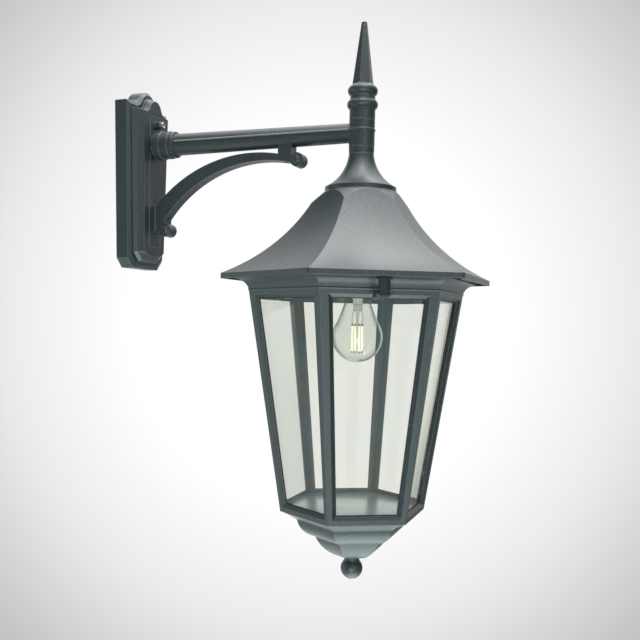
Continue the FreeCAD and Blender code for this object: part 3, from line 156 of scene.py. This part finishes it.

# Black beads round the windows, drawn on a side of the cage: half widths of the window and its climb from the
# # cage's top edge
SIDES = (0.0, 60.0, 120.0, 180.0, 240.0, 300.0)
SIDE_REACH = 111.72
SIDE_TOP = -16.5
SIDE_LEAN = math.radians(7.905)
WINDOW_LOW = (35.04, -252.7)
WINDOW_HIGH = (50.41, -11.21)
PANE_LEVEL = -4.5
WINDOW_BEAD_W = 1.1
WINDOW_BEAD_T = 0.9
WINDOW_BEAD_EASE = 0.28
WINDOW_BEAD_EASE_STEPS = 2


class Value:
    """A shader socket that takes part in sums: every operator adds a Math node."""

    def __init__(self, paint, socket):
        self.paint = paint
        self.socket = socket

    def maths(self, operation, first, second):
        return self.paint.node("ShaderNodeMath", {"operation": operation}, {0: first, 1: second})

    def __add__(self, other):
        return self.maths("ADD", self, other)

    def __sub__(self, other):
        return self.maths("SUBTRACT", self, other)

    def __rsub__(self, other):
        return self.maths("SUBTRACT", other, self)

    def __mul__(self, other):
        return self.maths("MULTIPLY", self, other)

    def __truediv__(self, other):
        return self.maths("DIVIDE", self, other)

    def __pow__(self, other):
        return self.maths("POWER", self, other)


class Paint:
    """One node tree, of a material or of the world, built up node by node."""

    def __init__(self, owner):
        owner.use_nodes = True
        self.tree = owner.node_tree
        self.tree.nodes.clear()

    def node(self, kind, settings, inputs, output=0):
        made = self.tree.nodes.new(kind)
        for name, value in settings.items():
            if name == "stops":
                self.set_stops(made.color_ramp, value)
            else:
                setattr(made, name, value)
        for name, value in inputs.items():
            if isinstance(value, Value):
                self.tree.links.new(value.socket, made.inputs[name])
            else:
                made.inputs[name].default_value = value
        return Value(self, made.outputs[output]) if made.outputs else None

    @staticmethod
    def set_stops(ramp, stops):
        while len(ramp.elements) < len(stops):
            ramp.elements.new(1.0)
        for element, (place, colour) in zip(ramp.elements, stops):
            element.position = place
            element.color = (*colour, 1.0)


def rgba(r, g, b):
    return (r, g, b, 1.0)


def greys(levels):
    return [(place, (level, level, level)) for place, level in levels]


def new_material(name):
    material = bpy.data.materials.new(name)
    return material, Paint(material)


def object_place(paint):
    return paint.node("ShaderNodeTexCoord", {}, {}, "Object")


def noise(paint, place, scale, detail=2.0, rough=0.5):
    return paint.node("ShaderNodeTexNoise", {}, {"Vector": place, "Scale": scale, "Detail": detail,
                                                 "Roughness": rough})


def mix_colour(paint, factor, first, second):
    return paint.node("ShaderNodeMix", {"data_type": "RGBA"}, {0: factor, 6: first, 7: second}, 2)


def end(paint, shader):
    paint.node("ShaderNodeOutputMaterial", {}, {"Surface": shader})


def rounded_normal(paint, radius):
    """Normal that rolls over every arris."""
    return paint.node("ShaderNodeBevel", {"samples": BEVEL_SAMPLES}, {"Radius": radius})


def arris_highlight_mask(paint, rounded):
    """Mask that is strong only along the arrises that a rounded normal rolls over, where the finishes paint a
    highlight.
    """
    true = paint.node("ShaderNodeNewGeometry", {}, {}, "Normal")
    agree = paint.node("ShaderNodeVectorMath", {"operation": "DOT_PRODUCT"}, {0: rounded, 1: true}, "Value")
    return paint.node("ShaderNodeMath", {"operation": "MINIMUM"}, {0: (1.0 - agree) * ARRIS_GAIN, 1: 1.0})


def powder_coat(name, dark, pale, rim, rough, grain):
    """Graphite powder coat: fine grit, orange peel, metallic flecks, faint clouds and a painted highlight: a paler
    line along the arrises, where light catches their rounding."""
    material, paint = new_material(name)
    place = object_place(paint)
    cloud = noise(paint, place, scale=16.0, detail=3.0)
    fleck = noise(paint, place, scale=760.0, detail=1.0)
    peel = noise(paint, place, scale=430.0, detail=3.0, rough=0.6)
    grit = noise(paint, place, scale=900.0, detail=2.0, rough=0.7)
    rounded = rounded_normal(paint, 0.0009)
    arris_highlight = arris_highlight_mask(paint, rounded)
    tone = cloud * 0.4 + (fleck - 0.5) * 1.6 + 0.3
    paint_colour = mix_colour(paint, tone, rgba(*dark), rgba(*pale))
    spark = paint.node("ShaderNodeMapRange", {}, {"Value": fleck, "From Min": 0.56, "From Max": 0.72})
    flecked = mix_colour(paint, spark * 0.5, paint_colour, rgba(*rim))
    # Painted highlight: the arrises are mixed toward the pale rim colour, as light caught on their rounding.
    colour = mix_colour(paint, arris_highlight * 0.9, flecked, rgba(*rim))
    skin = peel * 0.6 + grit * 0.4
    bump = paint.node("ShaderNodeBump", {}, {"Strength": grain, "Distance": 0.0003, "Height": skin,
                                             "Normal": rounded})
    shader = paint.node("ShaderNodeBsdfPrincipled", {}, {
        "Base Color": colour, "Roughness": skin * 0.2 + cloud * 0.06 + (rough - 0.13), "Metallic": spark * 0.9,
        "Specular IOR Level": 1.0, "Specular Tint": rgba(0.985, 1.0, 0.985), "Normal": bump})
    end(paint, shader)
    return material


def satin_floor(name, dark, pale):
    """Smooth lacquered sheet: thin paint under a clear coat, with rub marks and a little dust; its colours paint the
    light and reflection that the sheet shows.
    """
    material, paint = new_material(name)
    place = object_place(paint)
    cloud = noise(paint, place, scale=30.0, detail=3.0)
    dust = noise(paint, place, scale=900.0, detail=1.0)
    colour = mix_colour(paint, cloud * 0.5 + dust * 0.5, rgba(*dark), rgba(*pale))
    bump = paint.node("ShaderNodeBump", {}, {"Strength": 0.05, "Distance": 0.0001, "Height": dust})
    shader = paint.node("ShaderNodeBsdfPrincipled", {}, {
        "Base Color": colour, "Roughness": cloud * 0.03 + dust * 0.03 + 0.25, "Specular IOR Level": 1.0,
        "Coat Weight": 1.0, "Coat Roughness": 0.23, "Normal": bump})
    end(paint, shader)
    return material


def pressed_glass(name, clear, milky):
    """Thick pressed glass: milky body, flow lines, a polished skin and a faint painted glow, as of light in the glass.
    """
    material, paint = new_material(name)
    place = object_place(paint)
    flow = noise(paint, place, scale=260.0, detail=3.0)
    colour = mix_colour(paint, flow, rgba(*clear), rgba(*milky))
    bump = paint.node("ShaderNodeBump", {}, {"Strength": 0.3, "Distance": 0.0003, "Height": flow})
    # The emission is painted light: a faint glow in the milky glass.
    shader = paint.node("ShaderNodeBsdfPrincipled", {}, {
        "Base Color": colour, "Roughness": flow * 0.1 + 0.06, "Specular IOR Level": 0.8,
        "Emission Color": colour, "Emission Strength": 0.22, "Normal": bump})
    end(paint, shader)
    return material


def plated_steel(name, dark, pale):
    """Zinc plated steel with fine turning marks and a cloudy passivated bloom."""
    material, paint = new_material(name)
    place = object_place(paint)
    marks = noise(paint, place, scale=1600.0, detail=2.0)
    cloud = noise(paint, place, scale=70.0, detail=3.0)
    rounded = rounded_normal(paint, 0.0004)
    colour = mix_colour(paint, cloud, rgba(*dark), rgba(*pale))
    bump = paint.node("ShaderNodeBump", {}, {"Strength": 0.15, "Distance": 0.0001, "Height": marks,
                                             "Normal": rounded})
    shader = paint.node("ShaderNodeBsdfPrincipled", {}, {
        "Base Color": colour, "Roughness": marks * 0.2 + cloud * 0.1 + 0.18, "Metallic": 1.0, "Normal": bump})
    end(paint, shader)
    return material


def moulded_plastic(name, dark, pale, rough):
    """Moulded plastic: spark-eroded grain, slight flow clouds and polished arrises, also painted paler as a highlight.
    """
    material, paint = new_material(name)
    place = object_place(paint)
    cloud = noise(paint, place, scale=40.0, detail=2.0)
    grain = noise(paint, place, scale=1500.0, detail=2.0)
    rounded = rounded_normal(paint, 0.0005)
    arris_highlight = arris_highlight_mask(paint, rounded)
    # The arrises are painted paler: a painted highlight on their rounding.
    colour = mix_colour(paint, cloud * 0.7 + arris_highlight * 0.3, rgba(*dark), rgba(*pale))
    bump = paint.node("ShaderNodeBump", {}, {"Strength": 0.2, "Distance": 0.0001, "Height": grain,
                                             "Normal": rounded})
    shader = paint.node("ShaderNodeBsdfPrincipled", {}, {
        "Base Color": colour, "Roughness": grain * 0.16 + (rough - 0.08) - arris_highlight * 0.08, "Normal": bump})
    end(paint, shader)
    return material


def clear_glass(name, tint, rim, rim_strength, gloss, film):
    """Clear glazing: see-through body, darker towards its outline, with reflections that rise at grazing angles
    and carry a faint film of colour."""
    material, paint = new_material(name)
    place = object_place(paint)
    wave = noise(paint, place, scale=9.0, detail=1.0)
    streak = noise(paint, place, scale=11.0, detail=2.0)
    bump = paint.node("ShaderNodeBump", {}, {"Strength": 0.04, "Distance": 0.002, "Height": wave})
    facing = paint.node("ShaderNodeLayerWeight", {}, {"Blend": 0.5}, "Facing")
    body = paint.node("ShaderNodeBsdfTransparent", {}, {"Color": rgba(*tint)})
    outline = paint.node("ShaderNodeBsdfTransparent", {}, {"Color": rgba(*rim)})
    through = paint.node("ShaderNodeMixShader", {}, {0: facing ** 4.0 * rim_strength, 1: body, 2: outline})
    hues = paint.node("ShaderNodeValToRGB", {"stops": film}, {0: streak})
    shine = paint.node("ShaderNodeBsdfPrincipled", {}, {
        "Base Color": hues, "Roughness": wave * 0.03 + 0.01, "Metallic": 1.0, "Normal": bump})
    mirror = facing ** 5.0 * 0.96 + 0.04
    end(paint, paint.node("ShaderNodeMixShader", {}, {0: mirror * gloss, 1: through, 2: shine}))
    return material


def glowing_filament(name):
    """Phosphor stick: pale yellow coat with a soft warm glow, mottled along its length."""
    material, paint = new_material(name)
    place = object_place(paint)
    coat = noise(paint, place, scale=900.0, detail=2.0)
    colour = mix_colour(paint, coat, rgba(0.93, 0.78, 0.45), rgba(0.98, 0.9, 0.66))
    glow = mix_colour(paint, coat, rgba(1.0, 0.86, 0.55), rgba(1.0, 0.95, 0.8))
    shader = paint.node("ShaderNodeBsdfPrincipled", {}, {
        "Base Color": colour, "Roughness": coat * 0.2 + 0.4, "Emission Color": glow, "Emission Strength": 1.15})
    end(paint, shader)
    return material


FINISHES = {
    # The casting's rim colour is the pale tone of its painted arris highlight and of its metallic flecks.
    "casting": powder_coat("graphite_powder_coat", dark=(0.009, 0.021, 0.025), pale=(0.024, 0.043, 0.05),
                           rim=(0.26, 0.285, 0.285), rough=0.41, grain=0.5),
    "steel": plated_steel("zinc_plated_steel", dark=(0.5, 0.5, 0.49), pale=(0.68, 0.68, 0.66)),
    "terminal": moulded_plastic("natural_nylon", dark=(0.66, 0.64, 0.58), pale=(0.76, 0.75, 0.7), rough=0.45),
    "holder": moulded_plastic("black_phenolic", dark=(0.02, 0.02, 0.02), pale=(0.035, 0.034, 0.033), rough=0.35),
    "lamp_metal": plated_steel("rolled_lamp_cap", dark=(0.62, 0.61, 0.59), pale=(0.76, 0.75, 0.73)),
    "lamp_glass": clear_glass("lamp_glass", tint=(0.99, 0.995, 0.985), rim=(0.3, 0.36, 0.33), rim_strength=0.9,
                              gloss=1.3, film=LAMP_FILM),
    "filament": glowing_filament("filament_coat"),
    "flex": moulded_plastic("flex_sheath", dark=(0.025, 0.025, 0.025), pale=(0.04, 0.04, 0.04), rough=0.6),
    "pane_glass": clear_glass("pane_glass", tint=(0.945, 0.948, 0.93), rim=(0.7, 0.78, 0.72), rim_strength=0.5,
                              gloss=1.0, film=PANE_FILM),
    "latch": moulded_plastic("black_latch_plastic", dark=(0.006, 0.024, 0.025), pale=(0.016, 0.04, 0.042),
                             rough=0.4),
}
# The seam's coat is many times paler than the casting's: a painted highlight along the bead.
SEAM_HIGHLIGHT_FINISH = powder_coat("seam_painted_highlight", dark=(0.2, 0.225, 0.225), pale=(0.3, 0.33, 0.33),
                          rim=(0.36, 0.39, 0.39), rough=0.38, grain=0.3)
# The sheet's pale blue is painted light and reflection on the cage's floor.
SHEET_PAINTED_LIGHT_FINISH = satin_floor("floor_sheet_painted_light", dark=(0.46, 0.65, 0.73), pale=(0.52, 0.72, 0.8))
STEM_FINISH = pressed_glass("pressed_stem_glass", clear=(0.74, 0.77, 0.7), milky=(0.9, 0.91, 0.85))


def dress_nodes():
    for sub in frame["record"]["subparts"]:
        mesh = NODES[sub["node"]].data
        mesh.materials.clear()
        mesh.materials.append(FINISHES[sub["material_slot"]])


def clear_selection():
    bpy.ops.object.select_all(action="DESELECT")


def take(piece):
    clear_selection()
    piece.select_set(True)
    bpy.context.view_layer.objects.active = piece


def lathe(name, profile, steps):
    """Turned piece about Z: a point is extruded along its profile and spun round."""
    clear_selection()
    bpy.ops.mesh.primitive_plane_add(size=MM, location=(0.0, 0.0, 0.0))
    piece = bpy.context.object
    piece.name = name
    bpy.ops.object.mode_set(mode="EDIT")
    bpy.ops.mesh.select_all(action="SELECT")
    bpy.ops.mesh.merge(type="CENTER")
    bpy.ops.transform.translate(value=(profile[0][0] * MM, 0.0, profile[0][1] * MM))
    for first, second in zip(profile, profile[1:]):
        way = ((second[0] - first[0]) * MM, 0.0, (second[1] - first[1]) * MM)
        bpy.ops.mesh.extrude_vertices_move(TRANSFORM_OT_translate={"value": way})
    bpy.ops.mesh.select_all(action="SELECT")
    bpy.ops.mesh.spin(steps=steps, angle=2 * math.pi, center=(0.0, 0.0, 0.0), axis=(0.0, 0.0, 1.0))
    bpy.ops.mesh.select_all(action="SELECT")
    bpy.ops.mesh.remove_doubles(threshold=WELD * MM)
    bpy.ops.mesh.normals_make_consistent(inside=False)
    bpy.ops.object.mode_set(mode="OBJECT")
    return piece


def bent_wire(name, points, radius):
    """Wire bent along its points, made a mesh."""
    clear_selection()
    bpy.ops.curve.primitive_bezier_curve_add(location=(0.0, 0.0, 0.0))
    wire = bpy.context.object
    wire.name = name
    curve = wire.data
    curve.splines.clear()
    run = curve.splines.new("BEZIER")
    run.bezier_points.add(len(points) - 1)
    for knot, point in zip(run.bezier_points, points):
        knot.co = point
        knot.handle_left_type = "AUTO"
        knot.handle_right_type = "AUTO"
    curve.dimensions = "3D"
    curve.resolution_u = WIRE_STEPS
    curve.bevel_depth = radius * MM
    curve.bevel_resolution = WIRE_ROUND
    curve.use_fill_caps = True
    take(wire)
    bpy.ops.object.convert(target="MESH")
    return bpy.context.object


def seat(piece, matrix):
    """Bring a finished piece to its place, which is kept in its mesh."""
    take(piece)
    piece.matrix_world = matrix
    bpy.ops.object.transform_apply(location=True, rotation=True, scale=True)


def copy_of(piece, name):
    take(piece)
    bpy.ops.object.duplicate()
    bpy.context.object.name = name
    return bpy.context.object


def numbered(first, stem, count):
    """A finished piece and its copies, named by number."""
    return [first] + [copy_of(first, "%s_%d" % (stem, n)) for n in range(2, count + 1)]


def joined(pieces):
    take(pieces[0])
    for piece in pieces:
        piece.select_set(True)
    bpy.ops.object.join()
    return bpy.context.object


def set_around(first, places):
    """Copies of a finished piece brought to their places and joined to one."""
    pieces = [first] + [copy_of(first, first.name) for _ in places[1:]]
    for piece, place in zip(pieces, places):
        seat(piece, Matrix.Translation(place))
    return joined(pieces)


def hand_over(piece, body, slot, smooth=EDGE_ANGLE, finish=None):
    """Smooth shading, finish and body of a piece that is in its place; the slot picks the finish when none is given.
    """
    take(piece)
    bpy.ops.object.shade_smooth_by_angle(angle=math.radians(smooth))
    piece.data.materials.clear()
    piece.data.materials.append(finish or FINISHES[slot])
    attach(piece, body)


def around_lamp(turn, radius, height):
    angle = math.radians(turn)
    return LANTERN + Vector((radius * math.cos(angle), radius * math.sin(angle), height)) * MM


def make_lamp_inside():
    """Turned glass stem with its pressed waist, the phosphor sticks with end sleeves, and the wires to them."""
    stem = lathe("lamp_stem_glass", STEM_PROFILE, STEM_STEPS)
    seat(stem, Matrix.Translation(LANTERN))
    hand_over(stem, "bracket", "lamp_glass", ROUND_ANGLE, STEM_FINISH)
    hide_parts("lamp_stem")
    sticks = set_around(lathe("filament_sticks", STICK_PROFILE, STICK_STEPS),
                        [around_lamp(turn, STICK_RING, STICK_MIDDLE) for turn in STICK_TURNS])
    hand_over(sticks, "bracket", "filament", ROUND_ANGLE)
    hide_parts("lamp_filaments")
    sleeves = set_around(lathe("stick_sleeves", SLEEVE_PROFILE, STICK_STEPS),
                         [around_lamp(turn, STICK_RING, z) for turn in STICK_TURNS for z in STICK_ENDS])
    hand_over(sleeves, "bracket", "steel")
    rings = set_around(lathe("stem_rings", RING_PROFILE, RING_STEPS),
                       [around_lamp(0.0, 0.0, z) for z in RING_HEIGHTS])
    hand_over(rings, "bracket", "steel", ROUND_ANGLE)
    wires = [bent_wire("lamp_wires", [around_lamp(turn, r, z) for r, z in LEAD_WAY], LEAD_R)
             for turn in LEAD_TURNS]
    wires += [bent_wire("stick_tie", [around_lamp(turn, r, z) for r in (TIE_START, STICK_RING)], TIE_R)
              for turn in STICK_TURNS for z in STICK_ENDS]
    hand_over(joined(wires), "bracket", "steel", ROUND_ANGLE)


def make_roll_eyes():
    """Round bosses cast on the ends of the brace's two rolls."""
    places = [(x, side, z) for x, z in ROLLS for side in (-1, 1)]
    eyes = numbered(lathe("roll_eye_1", EYE_PROFILE, BOSS_STEPS), "roll_eye", len(places))
    for eye, (x, side, z) in zip(eyes, places):
        turn = Matrix.Rotation(math.radians(-90.0 * side), 4, "X")
        seat(eye, Matrix.Translation(Vector((x, side * BRACE_HALF, z)) * MM) @ turn)
        hand_over(eye, "bracket", "casting")


def make_arm_seams():
    """Rounded moulding seam along both sides of the arm, painted pale as a highlight."""
    seams = []
    for side in (-1, 1):
        way = [Vector((x, side * (half + SEAM_PROUD), SEAM_Z)) * MM for x, half in SEAM_ENDS]
        seams.append(bent_wire("arm_seam", way, SEAM_R))
    hand_over(joined(seams), "bracket", "casting", ROUND_ANGLE, SEAM_HIGHLIGHT_FINISH)


def make_screw_ring():
    """Turned ring at the rim of the plate's screw head."""
    ring = lathe("plate_screw_ring", SCREW_RING, BOSS_STEPS)
    seat(ring, Matrix.Translation(Vector(SCREW_PLACE) * MM) @ Matrix.Rotation(math.radians(90.0), 4, "Y"))
    hand_over(ring, "bracket", "steel", ROUND_ANGLE)


def make_floor_sheet():
    """Six-sided lacquered sheet with an eased edge, laid on the cage's floor, its pale colour painted light and
    reflection.
    """
    clear_selection()
    bpy.ops.mesh.primitive_circle_add(vertices=len(SIDES), radius=SHEET_R * MM, fill_type="NGON",
                                      location=(0.0, 0.0, 0.0))
    sheet = bpy.context.object
    sheet.name = "floor_sheet"
    bpy.ops.object.mode_set(mode="EDIT")
    bpy.ops.mesh.select_all(action="SELECT")
    bpy.ops.mesh.extrude_region_move(TRANSFORM_OT_translate={"value": (0.0, 0.0, SHEET_T * MM)})
    bpy.ops.mesh.inset(thickness=SHEET_EASE * MM, depth=0.0)
    bpy.ops.transform.translate(value=(0.0, 0.0, SHEET_RISE * MM))
    bpy.ops.mesh.select_all(action="SELECT")
    bpy.ops.mesh.normals_make_consistent(inside=False)
    bpy.ops.object.mode_set(mode="OBJECT")
    seat(sheet, Matrix.Translation(Vector((LANTERN.x, LANTERN.y, SHEET_Z * MM))))
    hand_over(sheet, "cage", "casting", FLAT_ANGLE, SHEET_PAINTED_LIGHT_FINISH)


def side_place(turn):
    """Place of a cage side: X along it, Y up its slope, Z outwards."""
    rise, reach = math.sin(SIDE_LEAN), math.cos(SIDE_LEAN)
    axes = Matrix(((0.0, rise, reach), (1.0, 0.0, 0.0), (0.0, reach, -rise)))
    side = Matrix.Translation(Vector((SIDE_REACH, 0.0, SIDE_TOP)) * MM) @ axes.to_4x4()
    return Matrix.Translation(LANTERN) @ Matrix.Rotation(math.radians(turn), 4, "Z") @ side


def make_window_beads():
    """Black bead round each window, on the outside of the glass, that darkens the window's outline."""
    low, high = WINDOW_LOW[1] * MM, WINDOW_HIGH[1] * MM
    middle = (high + low) / 2
    clear_selection()
    bpy.ops.mesh.primitive_plane_add(size=1.0, location=(0.0, 0.0, 0.0))
    first = bpy.context.object
    first.name = "window_bead_1"
    bpy.ops.object.mode_set(mode="EDIT")
    bpy.ops.mesh.select_all(action="SELECT")
    bpy.ops.transform.resize(value=(2 * WINDOW_LOW[0] * MM, high - low, 1.0))
    bpy.ops.transform.translate(value=(0.0, middle, PANE_LEVEL * MM))
    bpy.ops.object.mode_set(mode="OBJECT")
    for corner in first.data.vertices:
        corner.select = corner.co.y > middle
    for edge in first.data.edges:
        edge.select = all(first.data.vertices[i].select for i in edge.vertices)
    first.data.polygons[0].select = False
    bpy.ops.object.mode_set(mode="EDIT")
    bpy.ops.transform.resize(value=(WINDOW_HIGH[0] / WINDOW_LOW[0], 1.0, 1.0))
    bpy.ops.mesh.select_all(action="SELECT")
    bpy.ops.mesh.inset(thickness=WINDOW_BEAD_W * MM, depth=0.0)
    bpy.ops.mesh.delete(type="FACE")
    bpy.ops.mesh.select_all(action="SELECT")
    bpy.ops.mesh.extrude_region_move(TRANSFORM_OT_translate={"value": (0.0, 0.0, WINDOW_BEAD_T * MM)})
    bpy.ops.mesh.bevel(offset=WINDOW_BEAD_EASE * MM, segments=WINDOW_BEAD_EASE_STEPS, affect="EDGES")
    bpy.ops.mesh.select_all(action="SELECT")
    bpy.ops.mesh.normals_make_consistent(inside=False)
    bpy.ops.object.mode_set(mode="OBJECT")
    for dark_bead, turn in zip(numbered(first, "window_bead", len(SIDES)), SIDES):
        seat(dark_bead, side_place(turn))
        hand_over(dark_bead, "cage", "flex", FLAT_ANGLE)


def camera_axes():
    forward = Vector((-math.sin(YAW) * math.cos(PITCH), math.cos(YAW) * math.cos(PITCH), math.sin(PITCH)))
    right = Vector((math.cos(YAW), math.sin(YAW), 0.0))
    up = right.cross(forward)
    rolled_right = right * math.cos(ROLL) + up * math.sin(ROLL)
    rolled_up = up * math.cos(ROLL) - right * math.sin(ROLL)
    return rolled_right, rolled_up, forward


def place_camera():
    right, up, forward = camera_axes()
    data = bpy.data.cameras.new("photo_camera")
    data.sensor_width = SENSOR
    data.lens = FOCAL_PIXELS / PIXELS * SENSOR
    data.shift_x = (PIXELS / 2 - CENTRE_X) / PIXELS
    data.shift_y = (CENTRE_Y - PIXELS / 2) / PIXELS
    camera = bpy.data.objects.new("photo_camera", data)
    camera.matrix_world = Matrix.Translation(EYE) @ Matrix((right, up, -forward)).transposed().to_4x4()
    bpy.context.scene.collection.objects.link(camera)
    bpy.context.scene.camera = camera


def backdrop_axis():
    """Direction from the camera through the middle of the picture."""
    right, up, forward = camera_axes()
    across = (PIXELS / 2 - CENTRE_X) / FOCAL_PIXELS
    rise = (CENTRE_Y - PIXELS / 2) / FOCAL_PIXELS
    return (forward + right * across + up * rise).normalized()


def turn_from(paint, way, axis):
    """Angle between a ray and an axis, in shares of half a turn."""
    aim = paint.node("ShaderNodeVectorMath", {"operation": "DOT_PRODUCT"}, {0: way, 1: tuple(axis)}, "Value")
    return paint.node("ShaderNodeMath", {"operation": "ARCCOSINE"}, {0: aim}) / math.pi


def light_world():
    """Bright round pool on the backdrop, as the camera sees it, and a room with a bright wall that lights the part."""
    world = bpy.data.worlds.new("studio")
    bpy.context.scene.world = world
    paint = Paint(world)
    way = paint.node("ShaderNodeTexCoord", {}, {}, "Generated")
    middle = backdrop_axis()
    raised = (middle + Vector((0.0, 0.0, ROOM_RAISE))).normalized()
    pool = paint.node("ShaderNodeValToRGB", {"stops": greys(BACKDROP_GREYS)}, {0: turn_from(paint, way, middle)})
    room = paint.node("ShaderNodeValToRGB", {"stops": greys(ROOM_GREYS)}, {0: turn_from(paint, way, raised)})
    direct = paint.node("ShaderNodeLightPath", {}, {}, "Is Camera Ray")
    through = paint.node("ShaderNodeLightPath", {}, {}, "Is Transmission Ray")
    seen = paint.node("ShaderNodeMath", {"operation": "MAXIMUM"}, {0: direct, 1: through})
    background = paint.node("ShaderNodeBackground", {}, {"Color": mix_colour(paint, seen, room, pool),
                                                         "Strength": 1.0})
    paint.node("ShaderNodeOutputWorld", {}, {"Surface": background})


def lay_floor():
    clear_selection()
    bpy.ops.mesh.primitive_circle_add(vertices=FLOOR_SIDES, radius=FLOOR_R, fill_type="NGON",
                                      location=(LANTERN.x, LANTERN.y, FLOOR_Z))
    floor = bpy.context.object
    floor.name = "studio_floor"
    material, paint = new_material("pale_floor")
    shader = paint.node("ShaderNodeBsdfPrincipled", {}, {"Base Color": rgba(*FLOOR_COLOUR), "Roughness": FLOOR_ROUGH})
    end(paint, shader)
    floor.data.materials.append(material)


def softbox(name, place, turn, width, height, power, colour):
    data = bpy.data.lights.new(name, "AREA")
    data.shape = "RECTANGLE"
    data.size = width
    data.size_y = height
    data.energy = power
    data.color = colour
    lamp = bpy.data.objects.new(name, data)
    lamp.location = place
    lamp.rotation_euler = turn
    lamp.visible_camera = False
    bpy.context.scene.collection.objects.link(lamp)


def light_studio():
    """Flat softboxes overhead, turned with the camera, and softboxes aimed at the lantern."""
    for name, place, across, along, power in OVERHEAD_BOXES:
        softbox(name, place, (0.0, 0.0, YAW), across, along, power, WHITE)
    for name, place, width, height, power, target, colour in AIMED_BOXES:
        turn = (target - Vector(place)).to_track_quat("-Z", "Y").to_euler()
        softbox(name, place, turn, width, height, power, colour)


dress_nodes()
make_lamp_inside()
make_roll_eyes()
make_arm_seams()
make_screw_ring()
make_floor_sheet()
make_window_beads()
place_camera()
light_world()
lay_floor()
light_studio()
bpy.context.scene.view_settings.view_transform = "Standard"
